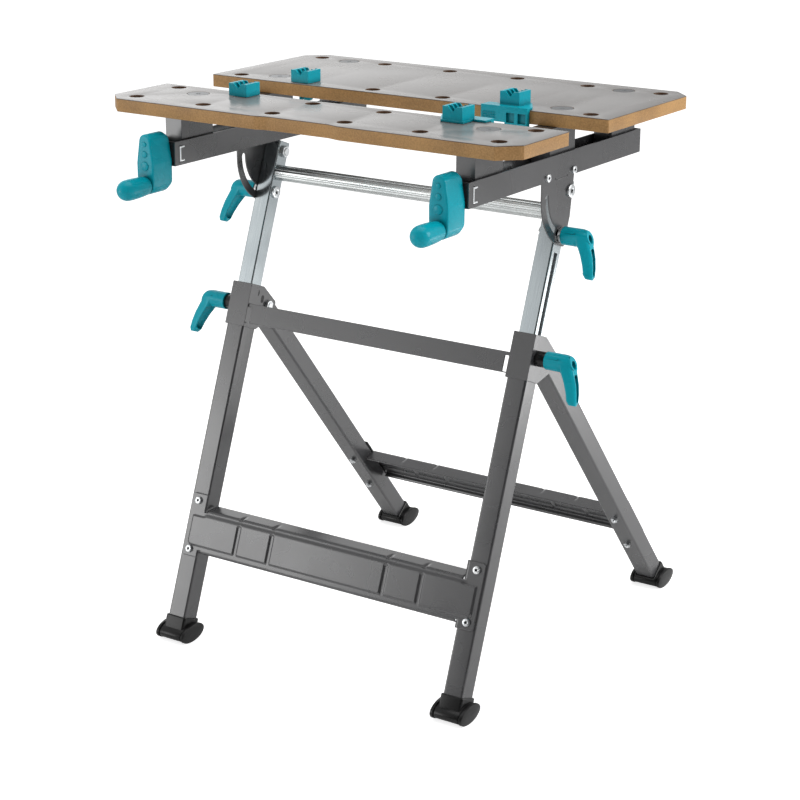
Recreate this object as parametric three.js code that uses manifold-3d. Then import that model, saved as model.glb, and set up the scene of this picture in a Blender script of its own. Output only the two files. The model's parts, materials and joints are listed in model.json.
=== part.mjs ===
// Folding workbench: two laminated jaws on steel rails, telescopic front legs, folding rear legs.
// Millimetres, +Z up, X along the jaws, the operator stands on the -Y side.
import * as THREE from "three";
import { mergeVertices } from "three/addons/utils/BufferGeometryUtils.js";
import Module from "manifold-3d";

const wasm = await Module();
wasm.setup();

// Fits shared by mating pieces
const SEAT = 0.3; // left between two pieces that touch
const BORE = 0.3; // radial clearance round a pin, bolt or screw
const CUT = 1; // how far a cutting solid runs past the piece it cuts
const ROUND = 16; // facets of a hole or pin
const FINE = 24; // facets of a large round
const HEX = 6; // sides of a nut
const TURN = { half: 180, down: 270, full: 360 }; // degrees, counted from +Y towards +Z

// Jaws: heights are measured down from their top face, depths from the middle of the table
const JAW = { half: 323, thick: 18, chamfer: 26 };
const JAW_EDGE = { frontOuter: -246.5, frontInner: -109, rearInner: -7, rearOuter: 244 };
const GRIP = { half: 57, run: 9, deep: 5, steps: 6 };
const DOG_HOLE = { radius: 10, pitch: 114.4, columns: 6 };
const DOG_HOLE_ROWS = { frontOuter: -217.5, frontInner: -128, rearInner: 13.9, rearOuter: 214 };
const JAW_BOLT = { headRadius: 15, headThick: 2, shank: 4, reach: 27, nutRadius: 7.5, nutThick: 6 };
const JAW_BOLT_ROWS = { front: -152.6, rearFront: 33.8, rearBack: 207.4 };

// Rails: sheet channels open at the top, with a tilt plate hanging from the outer wall
const RAIL = { gap: 0.2, width: 37, wall: 2, front: -228, back: 227, top: -53.7, bottom: -86.6 };
const RETAINER = { at: -218, wide: 2.4, top: -60, bottom: -82, hook: 4, thick: 2.2 };
const PIVOT = { y: 28, z: -107.5, bolt: 5, nutRadius: 8.5, nutThick: 6, headRadius: 9, headThick: 3 };
const TILT = { plateRadius: 75, slotRadius: 60.2, stud: 3.5, play: 0.5, travel: 70, rearTop: 38.5 };
const PLATE_KNEE = { back: 30, low: -142 };
const TILT_ARC = { steps: 14, endSteps: 6 };

// Brackets between the jaws and the rails
const BRACKET = { width: 28, wall: 2, long: 67, front: -207, rearFront: -21, rearBack: 150 };
const NUT_BLOCK = { from: -168, to: -148, top: -57, bottom: -83 };

// Vise screws, cranks and knobs
const SCREW = { radius: 7, z: -70, front: -254.7, back: -45 };
const THRUST = { front: -227, thick: 6, top: -54.5, flange: 1.5, reach: -203 };
const CRANK = { front: -269, back: -228.6, edge: 1.8, throw: 38, hub: 11, boss: 1.2, pin: 4, pinLong: 24 };
const CRANK_TOP = { rise: 21.2, radius: 9.6 };
const CRANK_WAIST = { rise: -9, radius: 14.3 };
const CRANK_TOE = { rise: -36.4, radius: 14 };
const CRANK_HEEL = { from: 8, share: 0.9 };
const CRANK_BOSS_HIGH = { rise: 17.8, radius: 3.3 };
const CRANK_BOSS_MIDDLE = { rise: 4.2, radius: 4.3 };
const CRANK_BOSS_LOW = { rise: -11.8, radius: 6.2 };
const KNOB = { radius: 14.3, waist: 12.8, tip: -321, turns: 5 };

// Legs: distances run down the leg from the tilt pivot, depths back from the leg's middle
const LEAN = THREE.MathUtils.degToRad(20.4);
const LEG = { middle: 235.8, width: 30, wall: 2, corner: 3, top: 198, bottom: 702 };
const UPPER = { width: 25, wall: 1.8, corner: 2, above: 14, bottom: 372, slot: 9, slotTop: 85 };
const CROSS_TUBE = { radius: 11.4, wall: 1.5, down: 31.4 };
const COLLAR = { thick: 1.7, top: 196.8, bottom: 259.3, shoulder: 1, heel: 2 };
const CHEEK = { radius: 19, from: 25, to: -15, steps: 5, lowBack: 46, low: 240 };
const REAR_PIVOT = { down: 221.8, back: 31, bolt: 4, headRadius: 7.5, headThick: 3.4, nutThick: 5 };
const CROSSBAR = { top: 225.8, bottom: 254.1, sheet: 1.5, flange: 12, short: 6.5, tab: 5 };
const REAR_LEAN = THREE.MathUtils.degToRad(40);
const REAR_LEG = { deep: 29, crown: 14.5 };

// Height clamp through collar, front leg and the slot of the upper leg
const HEIGHT = { down: 227.4, stud: 4, headLong: 14, headWide: 18, headThick: 3.6 };
const BUSHING = { radius: 10.5, long: 14.6 };

// Stiffening panels across the legs
const PANEL = { sheet: 1.5, tabTop: 508, tabBottom: 600, top: 531, bottom: 593.5, flange: 24, lip: 10 };
const PANEL_FIELD = { rise: 1.6, top: 541, bottom: 583, half: 94, groove: 6, narrow: 52.5, rim: 8.8 };
const PANEL_REAR_SHIFT = 123.8;
const PANEL_END_GAP = 1.3;

// Feet: pads below the ends of the legs, all at one height
const FOOT = { below: 7.4, ground: 12.6, long: 50, deep: 25, high: 12.6 };
const SLEEVE = { width: 35, up: 20.5, floor: 5 };
const FRONT_FOOT_TILT = THREE.MathUtils.degToRad(5);
const REAR_FOOT_TILT = THREE.MathUtils.degToRad(8);

// Clamp levers: stations down the arm, and the outer line that hub and arm share
const LEVER = { bore: 28, roundness: 0.6, innerSpread: 1.25, outerSpread: 0.85 };
const LEVER_HUB = [
  { x: 0, radius: 12.4 },
  { x: 28, radius: 12.4 },
  { x: 36, radius: 11 },
  { x: 44, radius: 8.5 },
];
const LEVER_RECESS = { radius: 5.6, deep: 7, at: 39.5 };
const LEVER_ARM = [
  { down: -3, x: 18, half: 11 },
  { down: 11, x: 24.5, half: 10 },
  { down: 24, x: 32, half: 8.8 },
  { down: 37, x: 37.8, half: 8 },
  { down: 48, x: 41.2, half: 7 },
  { down: 53, x: 45.2, half: 4.6 },
];
const LEVER_OUTER = [
  { down: -13, x: 30.5 },
  { down: -10.5, x: 35 },
  { down: -5, x: 38.4 },
  { down: 1, x: 40.8 },
  { down: 11, x: 45.7 },
  { down: 24, x: 51 },
  { down: 37, x: 54.3 },
  { down: 48, x: 55.8 },
  { down: 53, x: 54 },
];
const LEVER_SLOT = { rim: 3.6, deep: 7, spread: LEVER.outerSpread };
const LEVER_GROOVE = { rim: 2, deep: 6, spread: LEVER.innerSpread };
const LEVER_OPENING = [
  { down: 12, share: 0.4 },
  { down: 14.5, share: 1 },
  { down: 24, share: 1 },
  { down: 37, share: 1 },
  { down: 45, share: 1 },
  { down: 48, share: 0.4 },
];
const TILT_WASHER = 4.1;

// Bench dogs
const DOG = { side: 30, high: 17.5, vee: 7.5, rib: 1.6, ribs: 4, bay: 12 };
const DOG_PEG = { radius: 9.6, long: 25, split: 5 };
const PAD = { plate: 3, left: -36, right: 35, rim: 2, heel: 1 };
const APRON = { thick: 7, high: 22, inner: 21.4, left: 0.5 };
const PAD_WINDOW = { rim: 2.5, wide: 12, high: 13, deep: 4, low: -18 };
const DOG_COLUMN = 1.5;

// Looks
const TEAL = { color: 0x0e8c9a, roughness: 0.42, metalness: 0 };
const POWDER = { color: 0x6a6a6c, roughness: 0.55, metalness: 0.2 };
const DARK_STEEL = { color: 0x3c3c3e, roughness: 0.5, metalness: 0.4 };
const ZINC = { color: 0xc4c8cc, roughness: 0.28, metalness: 0.9 };
const LAMINATE = { color: 0xb4b1ae, roughness: 0.4, metalness: 0.2 };
const BLACK = { color: 0x2a2a2a, roughness: 0.7, metalness: 0 };

// The tilt plates lie against the upper legs, which sets the middle of the rails
const railMiddle = LEG.middle + UPPER.width / 2 + RAIL.gap + RAIL.wall - RAIL.width / 2;

// A closed solid from a geometry with its seams merged
function solid(geometry) {
  geometry.deleteAttribute("normal");
  geometry.deleteAttribute("uv");
  const merged = mergeVertices(geometry, 1e-4);
  return new wasm.Manifold(
    new wasm.Mesh({
      numProp: 3,
      vertProperties: merged.attributes.position.array,
      triVerts: new Uint32Array(merged.index.array),
    }),
  );
}

const BASES = {
  x: [new THREE.Vector3(0, 1, 0), new THREE.Vector3(0, 0, 1), new THREE.Vector3(1, 0, 0)],
  y: [new THREE.Vector3(0, 0, 1), new THREE.Vector3(1, 0, 0), new THREE.Vector3(0, 1, 0)],
  z: [new THREE.Vector3(1, 0, 0), new THREE.Vector3(0, 1, 0), new THREE.Vector3(0, 0, 1)],
};

// An outline pushed along an axis; outlines are (y, z) for x, (x, z) for y and (x, y) for z
function prism(axis, outline, from, to) {
  const flat = outline.map(([a, b]) => (axis === "y" ? new THREE.Vector2(b, a) : new THREE.Vector2(a, b)));
  const shape = new THREE.Shape(flat);
  const geometry = new THREE.ExtrudeGeometry(shape, { depth: to - from, bevelEnabled: false });
  geometry.translate(0, 0, from);
  geometry.applyMatrix4(new THREE.Matrix4().makeBasis(...BASES[axis]));
  return solid(geometry);
}

function box(x0, x1, y0, y1, z0, z1) {
  const geometry = new THREE.BoxGeometry(x1 - x0, y1 - y0, z1 - z0);
  geometry.translate((x0 + x1) / 2, (y0 + y1) / 2, (z0 + z1) / 2);
  return solid(geometry);
}

function ring(a, b, radius, facets = ROUND) {
  const step = (2 * Math.PI) / facets;
  return Array.from({ length: facets }, (_, i) => [
    a + radius * Math.cos((i + 0.5) * step),
    b + radius * Math.sin((i + 0.5) * step),
  ]);
}

function rod(axis, a, b, radius, from, to, facets = ROUND) {
  return prism(axis, ring(a, b, radius, facets), from, to);
}

function roundedRect(a0, a1, b0, b1, radius, steps = 3) {
  const corners = [
    [a1 - radius, b1 - radius, 0],
    [a0 + radius, b1 - radius, 1],
    [a0 + radius, b0 + radius, 2],
    [a1 - radius, b0 + radius, 3],
  ];
  return corners.flatMap(([a, b, quarter]) =>
    Array.from({ length: steps + 1 }, (_, i) => {
      const turn = ((quarter + i / steps) * Math.PI) / 2;
      return [a + radius * Math.cos(turn), b + radius * Math.sin(turn)];
    }),
  );
}

// Points of an arc about (a, b), angles in degrees counted from +a towards +b
function arc(a, b, radius, from, to, steps) {
  return Array.from({ length: steps + 1 }, (_, i) => {
    const turn = THREE.MathUtils.degToRad(from + ((to - from) * i) / steps);
    return [a + radius * Math.cos(turn), b + radius * Math.sin(turn)];
  });
}

// The outer outline of a set of points
function hull(points) {
  const sorted = [...points].sort((p, q) => p[0] - q[0] || p[1] - q[1]);
  const side = (list) => {
    const kept = [];
    for (const p of list) {
      while (kept.length > 1) {
        const [a, b] = kept.slice(-2);
        const turn = (b[0] - a[0]) * (p[1] - a[1]) - (b[1] - a[1]) * (p[0] - a[0]);
        if (turn > 0) break;
        kept.pop();
      }
      kept.push(p);
    }
    return kept.slice(0, -1);
  };
  return [...side(sorted), ...side(sorted.reverse())];
}

// A skin through rings of equal count, closed by a fan at each end
function loft(rings) {
  const count = rings[0].length;
  const middle = (r) => r.reduce((sum, p) => sum.map((v, k) => v + p[k] / count), [0, 0, 0]);
  const points = [...rings.flat(), middle(rings[0]), middle(rings[rings.length - 1])];
  const first = rings.length * count;
  const faces = [];
  for (let i = 0; i < count; i++) {
    const j = (i + 1) % count;
    for (let k = 0; k + 1 < rings.length; k++) {
      const low = k * count;
      const high = low + count;
      faces.push([low + i, low + j, high + j], [low + i, high + j, high + i]);
    }
    const last = first - count;
    faces.push([first, j, i], [first + 1, last + i, last + j]);
  }
  const build = (list) => {
    const geometry = new THREE.BufferGeometry();
    geometry.setAttribute("position", new THREE.Float32BufferAttribute(points.flat(), 3));
    geometry.setIndex(list.flat());
    return solid(geometry);
  };
  const made = build(faces);
  return made.volume() > 0 ? made : build(faces.map(([a, b, c]) => [a, c, b]));
}

const join = (...pieces) => pieces.reduce((a, b) => a.add(b));
const cut = (piece, ...tools) => tools.reduce((a, b) => a.subtract(b), piece);

// A named mesh in a group; a mirrored one is the same piece for the left-hand side
function piece(group, name, body, look, mirrored = false) {
  const mesh = body.getMesh();
  const points = Float32Array.from(mesh.vertProperties);
  const faces = Uint32Array.from(mesh.triVerts);
  if (mirrored) {
    for (let i = 0; i < points.length; i += 3) points[i] = -points[i];
    for (let i = 0; i < faces.length; i += 3) [faces[i], faces[i + 1]] = [faces[i + 1], faces[i]];
  }
  const geometry = new THREE.BufferGeometry();
  geometry.setAttribute("position", new THREE.BufferAttribute(points, 3));
  geometry.setIndex(new THREE.BufferAttribute(faces, 1));
  const made = new THREE.Mesh(geometry, new THREE.MeshStandardMaterial(look));
  made.name = name;
  group.add(made);
}

function pair(group, name, body, look) {
  piece(group, name + "_right", body, look);
  piece(group, name + "_left", body, look, true);
}

// Groups: the table stands square, each pair of legs leans in its own group
const root = new THREE.Group();
root.name = "folding_workbench";
const table = new THREE.Group();
const frontLegs = new THREE.Group();
const rearLegs = new THREE.Group();
root.add(table, frontLegs);
frontLegs.add(rearLegs);
frontLegs.position.set(0, PIVOT.y, PIVOT.z);
frontLegs.rotation.x = -LEAN;
rearLegs.position.set(0, REAR_PIVOT.back, -REAR_PIVOT.down);
rearLegs.rotation.x = LEAN + REAR_LEAN;

// Jaws with dog holes, bolt seats and the finger grip
const columns = Array.from(
  { length: DOG_HOLE.columns },
  (_, i) => (i - (DOG_HOLE.columns - 1) / 2) * DOG_HOLE.pitch,
);
function jaw(outline, rows, boltRows) {
  const body = prism("z", outline, -JAW.thick, 0);
  const holes = rows.flatMap((y) =>
    columns.map((x) => rod("z", x, y, DOG_HOLE.radius, -JAW.thick - CUT, CUT)),
  );
  const seats = boltRows.flatMap((y) =>
    [-railMiddle, railMiddle].flatMap((x) => [
      rod("z", x, y, JAW_BOLT.headRadius + BORE, -JAW_BOLT.headThick - SEAT, CUT, FINE),
      rod("z", x, y, JAW_BOLT.shank + BORE, -JAW.thick - CUT, 0),
    ]),
  );
  return cut(body, ...holes, ...seats);
}

// The finger grip runs into the front edge in a smooth S at each end
const gripSide = Array.from({ length: GRIP.steps + 1 }, (_, i) => {
  const share = i / GRIP.steps;
  const ease = share * share * (3 - 2 * share);
  return [GRIP.half + GRIP.run * (1 - 2 * share), JAW_EDGE.frontOuter + GRIP.deep * ease];
});
const frontOutline = [
  [JAW.half, JAW_EDGE.frontInner],
  [JAW.half, JAW_EDGE.frontOuter + JAW.chamfer],
  [JAW.half - JAW.chamfer, JAW_EDGE.frontOuter],
  ...gripSide,
  ...gripSide.map(([x, y]) => [-x, y]).reverse(),
  [JAW.chamfer - JAW.half, JAW_EDGE.frontOuter],
  [-JAW.half, JAW_EDGE.frontOuter + JAW.chamfer],
  [-JAW.half, JAW_EDGE.frontInner],
];
const rearOutline = [
  [JAW.half, JAW_EDGE.rearInner],
  [JAW.half, JAW_EDGE.rearOuter - JAW.chamfer],
  [JAW.half - JAW.chamfer, JAW_EDGE.rearOuter],
  [JAW.chamfer - JAW.half, JAW_EDGE.rearOuter],
  [-JAW.half, JAW_EDGE.rearOuter - JAW.chamfer],
  [-JAW.half, JAW_EDGE.rearInner],
];
const rearBoltRows = [JAW_BOLT_ROWS.rearFront, JAW_BOLT_ROWS.rearBack];
const frontHoleRows = [DOG_HOLE_ROWS.frontOuter, DOG_HOLE_ROWS.frontInner];
const rearHoleRows = [DOG_HOLE_ROWS.rearInner, DOG_HOLE_ROWS.rearOuter];
piece(table, "front_jaw", jaw(frontOutline, frontHoleRows, [JAW_BOLT_ROWS.front]), LAMINATE);
piece(table, "rear_jaw", jaw(rearOutline, rearHoleRows, rearBoltRows), LAMINATE);

// Jaw bolts: flush disc head, shank and the nut under the bracket
const bracketTop = -JAW.thick - SEAT;
const nutTop = bracketTop - BRACKET.wall - SEAT;
for (const [name, y] of Object.entries({
  front_jaw_bolt: JAW_BOLT_ROWS.front,
  rear_jaw_front_bolt: JAW_BOLT_ROWS.rearFront,
  rear_jaw_back_bolt: JAW_BOLT_ROWS.rearBack,
})) {
  const bolt = join(
    rod("z", railMiddle, y, JAW_BOLT.headRadius, -JAW_BOLT.headThick, 0, FINE),
    rod("z", railMiddle, y, JAW_BOLT.shank, -JAW_BOLT.reach - CUT, -CUT),
    rod("z", railMiddle, y, JAW_BOLT.nutRadius, nutTop - JAW_BOLT.nutThick, nutTop, HEX),
  );
  pair(table, name, bolt, ZINC);
}

// Brackets: folded sheet boxes standing in the rails, open below
const railFloor = RAIL.bottom + RAIL.wall;
const bracketSide = BRACKET.width / 2;
function bracket(front, boltAt) {
  const back = front + BRACKET.long;
  const low = railFloor + SEAT;
  const [x0, x1] = [railMiddle - bracketSide, railMiddle + bracketSide];
  const w = BRACKET.wall;
  return cut(
    box(x0, x1, front, back, low, bracketTop),
    box(x0 + w, x1 - w, front + w, back - w, low - CUT, bracketTop - w),
    rod("z", railMiddle, boltAt, JAW_BOLT.shank + BORE, bracketTop - w - CUT, bracketTop + CUT),
  );
}
const screwBore = rod("y", railMiddle, SCREW.z, SCREW.radius + BORE, RAIL.front - CUT, RAIL.back);
const nutBlock = box(
  railMiddle - bracketSide + CUT,
  railMiddle + bracketSide - CUT,
  NUT_BLOCK.from,
  NUT_BLOCK.to,
  NUT_BLOCK.bottom,
  NUT_BLOCK.top,
);
const frontBracket = cut(join(bracket(BRACKET.front, JAW_BOLT_ROWS.front), nutBlock), screwBore);
pair(table, "front_jaw_bracket", frontBracket, POWDER);
pair(table, "rear_jaw_front_bracket", bracket(BRACKET.rearFront, JAW_BOLT_ROWS.rearFront), POWDER);
pair(table, "rear_jaw_back_bracket", bracket(BRACKET.rearBack, JAW_BOLT_ROWS.rearBack), POWDER);

// Rails with their tilt plates
const railIn = railMiddle - RAIL.width / 2;
const railOut = railMiddle + RAIL.width / 2;
const legDown = TURN.down - THREE.MathUtils.radToDeg(LEAN);
const plateEnd = [PLATE_KNEE.back - PIVOT.y, PLATE_KNEE.low - PIVOT.z];
const along = [-Math.sin(LEAN), -Math.cos(LEAN)];
const dot = plateEnd[0] * along[0] + plateEnd[1] * along[1];
const reach = -dot + Math.sqrt(dot * dot + TILT.plateRadius ** 2 - plateEnd[0] ** 2 - plateEnd[1] ** 2);
const arcEnd = [plateEnd[0] + reach * along[0], plateEnd[1] + reach * along[1]];
const arcEndAngle = TURN.full + THREE.MathUtils.radToDeg(Math.atan2(arcEnd[1], arcEnd[0]));
const plateOutline = [
  [PIVOT.y - TILT.plateRadius, railFloor],
  ...arc(PIVOT.y, PIVOT.z, TILT.plateRadius, TURN.half, arcEndAngle, TILT_ARC.steps),
  [PLATE_KNEE.back, PLATE_KNEE.low],
  [TILT.rearTop, RAIL.bottom],
  [TILT.rearTop, railFloor],
];
const slotHalf = TILT.stud + TILT.play;
const slotTop = legDown - TILT.travel;
const slotEnd = (at, from) => {
  const turn = THREE.MathUtils.degToRad(at);
  const y = PIVOT.y + TILT.slotRadius * Math.cos(turn);
  const z = PIVOT.z + TILT.slotRadius * Math.sin(turn);
  return arc(y, z, slotHalf, from, from + TURN.half, TILT_ARC.endSteps).slice(1, -1);
};
const slotOutline = [
  ...arc(PIVOT.y, PIVOT.z, TILT.slotRadius + slotHalf, slotTop, legDown, TILT_ARC.steps),
  ...slotEnd(legDown, legDown),
  ...arc(PIVOT.y, PIVOT.z, TILT.slotRadius - slotHalf, legDown, slotTop, TILT_ARC.steps),
  ...slotEnd(slotTop, slotTop + TURN.half),
];
const channel = cut(
  box(railIn, railOut, RAIL.front, RAIL.back, RAIL.bottom, RAIL.top),
  box(
    railIn + RAIL.wall,
    railOut - RAIL.wall,
    RAIL.front - CUT,
    RAIL.back - RAIL.wall,
    railFloor,
    RAIL.top + CUT,
  ),
);
const retainerOutline = [
  [RETAINER.at, RETAINER.top],
  [RETAINER.at + RETAINER.hook, RETAINER.top],
  [RETAINER.at + RETAINER.hook, RETAINER.top - RETAINER.thick],
  [RETAINER.at + RETAINER.wide, RETAINER.top - RETAINER.thick],
  [RETAINER.at + RETAINER.wide, RETAINER.bottom + RETAINER.thick],
  [RETAINER.at + RETAINER.hook, RETAINER.bottom + RETAINER.thick],
  [RETAINER.at + RETAINER.hook, RETAINER.bottom],
  [RETAINER.at, RETAINER.bottom],
];
const rail = cut(
  join(channel, prism("x", plateOutline, railOut - RAIL.wall, railOut)),
  prism("x", slotOutline, railOut - RAIL.wall - CUT, railOut + CUT),
  prism("x", retainerOutline, railIn - CUT, railOut + CUT),
  rod("x", PIVOT.y, PIVOT.z, PIVOT.bolt + BORE, railOut - RAIL.wall - CUT, railOut + CUT),
);
pair(table, "rail", rail, POWDER);

// Thrust plates close the front of the rails and carry the screws
const thrustIn = railIn + RAIL.wall + SEAT;
const thrustOut = railOut - RAIL.wall - SEAT;
const thrustBack = THRUST.front + THRUST.thick;
const thrustLow = railFloor + SEAT;
const thrust = cut(
  join(
    box(thrustIn, thrustOut, THRUST.front, thrustBack, thrustLow, THRUST.top),
    box(thrustIn, thrustIn + THRUST.flange, thrustBack - CUT, THRUST.reach, thrustLow, THRUST.top),
    box(thrustOut - THRUST.flange, thrustOut, thrustBack - CUT, THRUST.reach, thrustLow, THRUST.top),
  ),
  screwBore,
);
pair(table, "thrust_plate", thrust, DARK_STEEL);

// Vise screws
pair(table, "vise_screw", rod("y", railMiddle, SCREW.z, SCREW.radius, SCREW.front, SCREW.back), ZINC);

// Cranks: a pear-shaped arm that draws in at the back, three bosses, a hub and the knob's pin
const knobZ = SCREW.z - CRANK.throw;
const crankOutline = hull(
  [CRANK_TOP, CRANK_WAIST, CRANK_TOE].flatMap(({ rise, radius }) => ring(0, rise, radius, FINE)),
);
const crankRing = (inset, y, share = 1) =>
  crankOutline.map(([x, full]) => {
    const rise = CRANK_WAIST.rise + (full - CRANK_WAIST.rise) * share;
    const centre = rise > CRANK_WAIST.rise ? CRANK_TOP.rise : CRANK_TOE.rise;
    const pull = inset / Math.hypot(x, rise - centre);
    return [railMiddle + x * (1 - pull), y, SCREW.z + rise - (rise - centre) * pull];
  });
const crankBosses = [CRANK_BOSS_HIGH, CRANK_BOSS_MIDDLE, CRANK_BOSS_LOW].map(({ rise, radius }) =>
  rod("y", railMiddle, SCREW.z + rise, radius, CRANK.front - CRANK.boss, CRANK.front + CUT),
);
const crankArm = loft([
  crankRing(CRANK.edge, CRANK.back, CRANK_HEEL.share),
  crankRing(0, CRANK.back - CRANK.edge, CRANK_HEEL.share),
  crankRing(0, CRANK.back - CRANK_HEEL.from),
  crankRing(0, CRANK.front + CRANK.edge),
  crankRing(CRANK.edge, CRANK.front),
]);
const crank = cut(
  join(
    crankArm,
    rod("y", railMiddle, SCREW.z, CRANK.hub, CRANK.back - CUT, THRUST.front - SEAT, FINE),
    ...crankBosses,
    rod("y", railMiddle, knobZ, CRANK.pin, CRANK.front - CRANK.pinLong, CRANK.front + CUT),
  ),
  rod("y", railMiddle, SCREW.z, SCREW.radius + BORE, SCREW.front - SEAT, THRUST.front),
);
pair(table, "crank", crank, TEAL);

// Knobs: turned grips with a round end and a bore for the pin
const knobBack = CRANK.front - SEAT;
const boreEnd = CRANK.front - CRANK.pinLong - SEAT;
const knobMiddle = KNOB.tip + KNOB.radius;
const knobProfile = [
  [0, boreEnd],
  [CRANK.pin + BORE, boreEnd],
  [CRANK.pin + BORE, knobBack],
  [KNOB.waist, knobBack],
  [KNOB.radius, (knobBack + knobMiddle) / 2],
  ...arc(0, knobMiddle, KNOB.radius, 0, -90, KNOB.turns).slice(0, -1),
  [0, KNOB.tip],
].map(([r, y]) => new THREE.Vector2(r, y));
const knobShape = new THREE.LatheGeometry(knobProfile.reverse(), FINE);
knobShape.translate(railMiddle, 0, knobZ);
pair(table, "crank_knob", solid(knobShape), TEAL);

// Bench dogs: ribbed vee blocks on split pegs
const pegGap = box(
  -DOG_PEG.split / 2,
  DOG_PEG.split / 2,
  -DOG.side,
  DOG.side,
  -DOG_PEG.long - CUT,
  -JAW.thick / 2,
);
const dogBase = SEAT;
const dogTop = dogBase + DOG.high;
const veeOutline = [
  [-DOG.vee, dogTop + CUT],
  [0, dogTop - DOG.vee],
  [DOG.vee, dogTop + CUT],
];
const ribPitch = (DOG.side - DOG.rib) / (DOG.ribs - 1);
const bayOutline = [
  [-DOG.bay, dogTop + CUT],
  [0, dogTop - DOG.bay],
  [DOG.bay, dogTop + CUT],
];
const veeBays = Array.from({ length: DOG.ribs - 1 }, (_, i) => {
  const from = -DOG.side / 2 + DOG.rib + i * ribPitch;
  return prism("y", bayOutline, from, from + ribPitch - DOG.rib);
});
function dog(lift) {
  const half = DOG.side / 2;
  const vee = prism("y", veeOutline, -half - CUT, half + CUT);
  const block = cut(
    box(-half, half, -half, half, dogBase, dogTop + lift),
    ...[vee, ...veeBays].map((tool) => tool.translate([0, 0, lift])),
  );
  const peg = cut(rod("z", 0, 0, DOG_PEG.radius, -DOG_PEG.long, dogBase + CUT), pegGap);
  return join(block, peg);
}
const dogX = DOG_COLUMN * DOG_HOLE.pitch;
const [dogFront, dogRear] = [DOG_HOLE_ROWS.frontInner, DOG_HOLE_ROWS.rearInner];
const plainDog = dog(0);
piece(table, "dog_front_left", plainDog.translate([-dogX, dogFront, 0]), TEAL);
piece(table, "dog_rear_left", plainDog.translate([-dogX, dogRear, 0]), TEAL);

// The two right-hand dogs stand on a plate with a gripping pad hanging into the vise gap
const padFront = -APRON.inner - APRON.thick;
const plateSide = DOG.side / 2 + PAD.rim;
const plateOutlineXY = [
  [PAD.left, padFront],
  [PAD.right, padFront],
  [PAD.right, padFront + APRON.thick * 2],
  [plateSide, DOG.side / 2 + PAD.heel],
  [-plateSide, DOG.side / 2 + PAD.heel],
  [-plateSide, -DOG.side / 4],
  [PAD.left, -DOG.side / 4],
];
const padPlate = prism("z", plateOutlineXY, dogBase, dogBase + PAD.plate);
const padWindow = (left) =>
  box(
    left,
    left + PAD_WINDOW.wide,
    padFront - CUT,
    padFront + PAD_WINDOW.deep,
    PAD_WINDOW.low,
    PAD_WINDOW.low + PAD_WINDOW.high,
  );
const apron = cut(
  box(APRON.left, PAD.right, padFront, -APRON.inner, -APRON.high, dogBase + CUT),
  padWindow(APRON.left + PAD_WINDOW.rim),
  padWindow(PAD.right - PAD_WINDOW.rim - PAD_WINDOW.wide),
);
const gripPad = box(PAD.left, APRON.left + CUT, padFront, -APRON.inner, PAD_WINDOW.low, dogBase + CUT);
const padDog = join(dog(PAD.plate), padPlate, apron, gripPad);
piece(table, "pad_dog_rear_right", padDog.translate([dogX, dogRear, 0]), TEAL);
piece(table, "pad_dog_front_right", padDog.rotate([0, 0, 180]).translate([dogX, dogFront, 0]), TEAL);

// Front legs: square tubes, drilled for the height clamp
const legIn = LEG.middle - LEG.width / 2;
const legOut = LEG.middle + LEG.width / 2;
const squareTube = (half, wall, corner, from, to) =>
  cut(
    prism("z", roundedRect(LEG.middle - half, LEG.middle + half, -half, half, corner), -to, -from),
    prism(
      "z",
      roundedRect(LEG.middle - half + wall, LEG.middle + half - wall, wall - half, half - wall, corner / 2),
      -to - CUT,
      CUT - from,
    ),
  );
const legHalf = LEG.width / 2;
const studHole = (from, to) => rod("x", 0, -HEIGHT.down, HEIGHT.stud + BORE, from, to);
const frontLeg = cut(
  squareTube(legHalf, LEG.wall, LEG.corner, LEG.top, LEG.bottom),
  studHole(LEG.middle, legOut + CUT),
);
pair(frontLegs, "front_leg", frontLeg, POWDER);

// Upper legs: slotted zinc channels that slide in the front legs
const upperHalf = UPPER.width / 2;
const upperIn = LEG.middle - upperHalf;
const upperOut = LEG.middle + upperHalf;
const upperLeg = cut(
  squareTube(upperHalf, UPPER.wall, UPPER.corner, -UPPER.above, UPPER.bottom),
  box(LEG.middle, upperOut + CUT, -UPPER.slot / 2, UPPER.slot / 2, -UPPER.bottom - CUT, -UPPER.slotTop),
  rod("x", 0, 0, PIVOT.bolt + BORE, upperIn - CUT, upperOut + CUT),
  rod("x", 0, -TILT.slotRadius, TILT.stud + BORE, upperIn - CUT, upperOut + CUT),
);
pair(frontLegs, "upper_leg", upperLeg, ZINC);

// Cross tube between the upper legs
const tubeEnd = upperIn - SEAT;
const crossTube = cut(
  rod("x", 0, -CROSS_TUBE.down, CROSS_TUBE.radius, -tubeEnd, tubeEnd, FINE),
  rod("x", 0, -CROSS_TUBE.down, CROSS_TUBE.radius - CROSS_TUBE.wall, -tubeEnd - CUT, tubeEnd + CUT),
);
piece(frontLegs, "cross_tube", crossTube, ZINC);

// Pivot bolts of the table
const pivotNutOut = upperIn - SEAT;
const pivotHeadIn = railOut + SEAT;
const pivotBolt = join(
  rod("x", 0, 0, PIVOT.bolt, pivotNutOut - PIVOT.nutThick, pivotHeadIn + CUT),
  rod("x", 0, 0, PIVOT.nutRadius, pivotNutOut - PIVOT.nutThick, pivotNutOut, HEX),
  rod("x", 0, 0, PIVOT.headRadius, pivotHeadIn, pivotHeadIn + PIVOT.headThick),
);
pair(frontLegs, "pivot_bolt", pivotBolt, ZINC);

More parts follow.
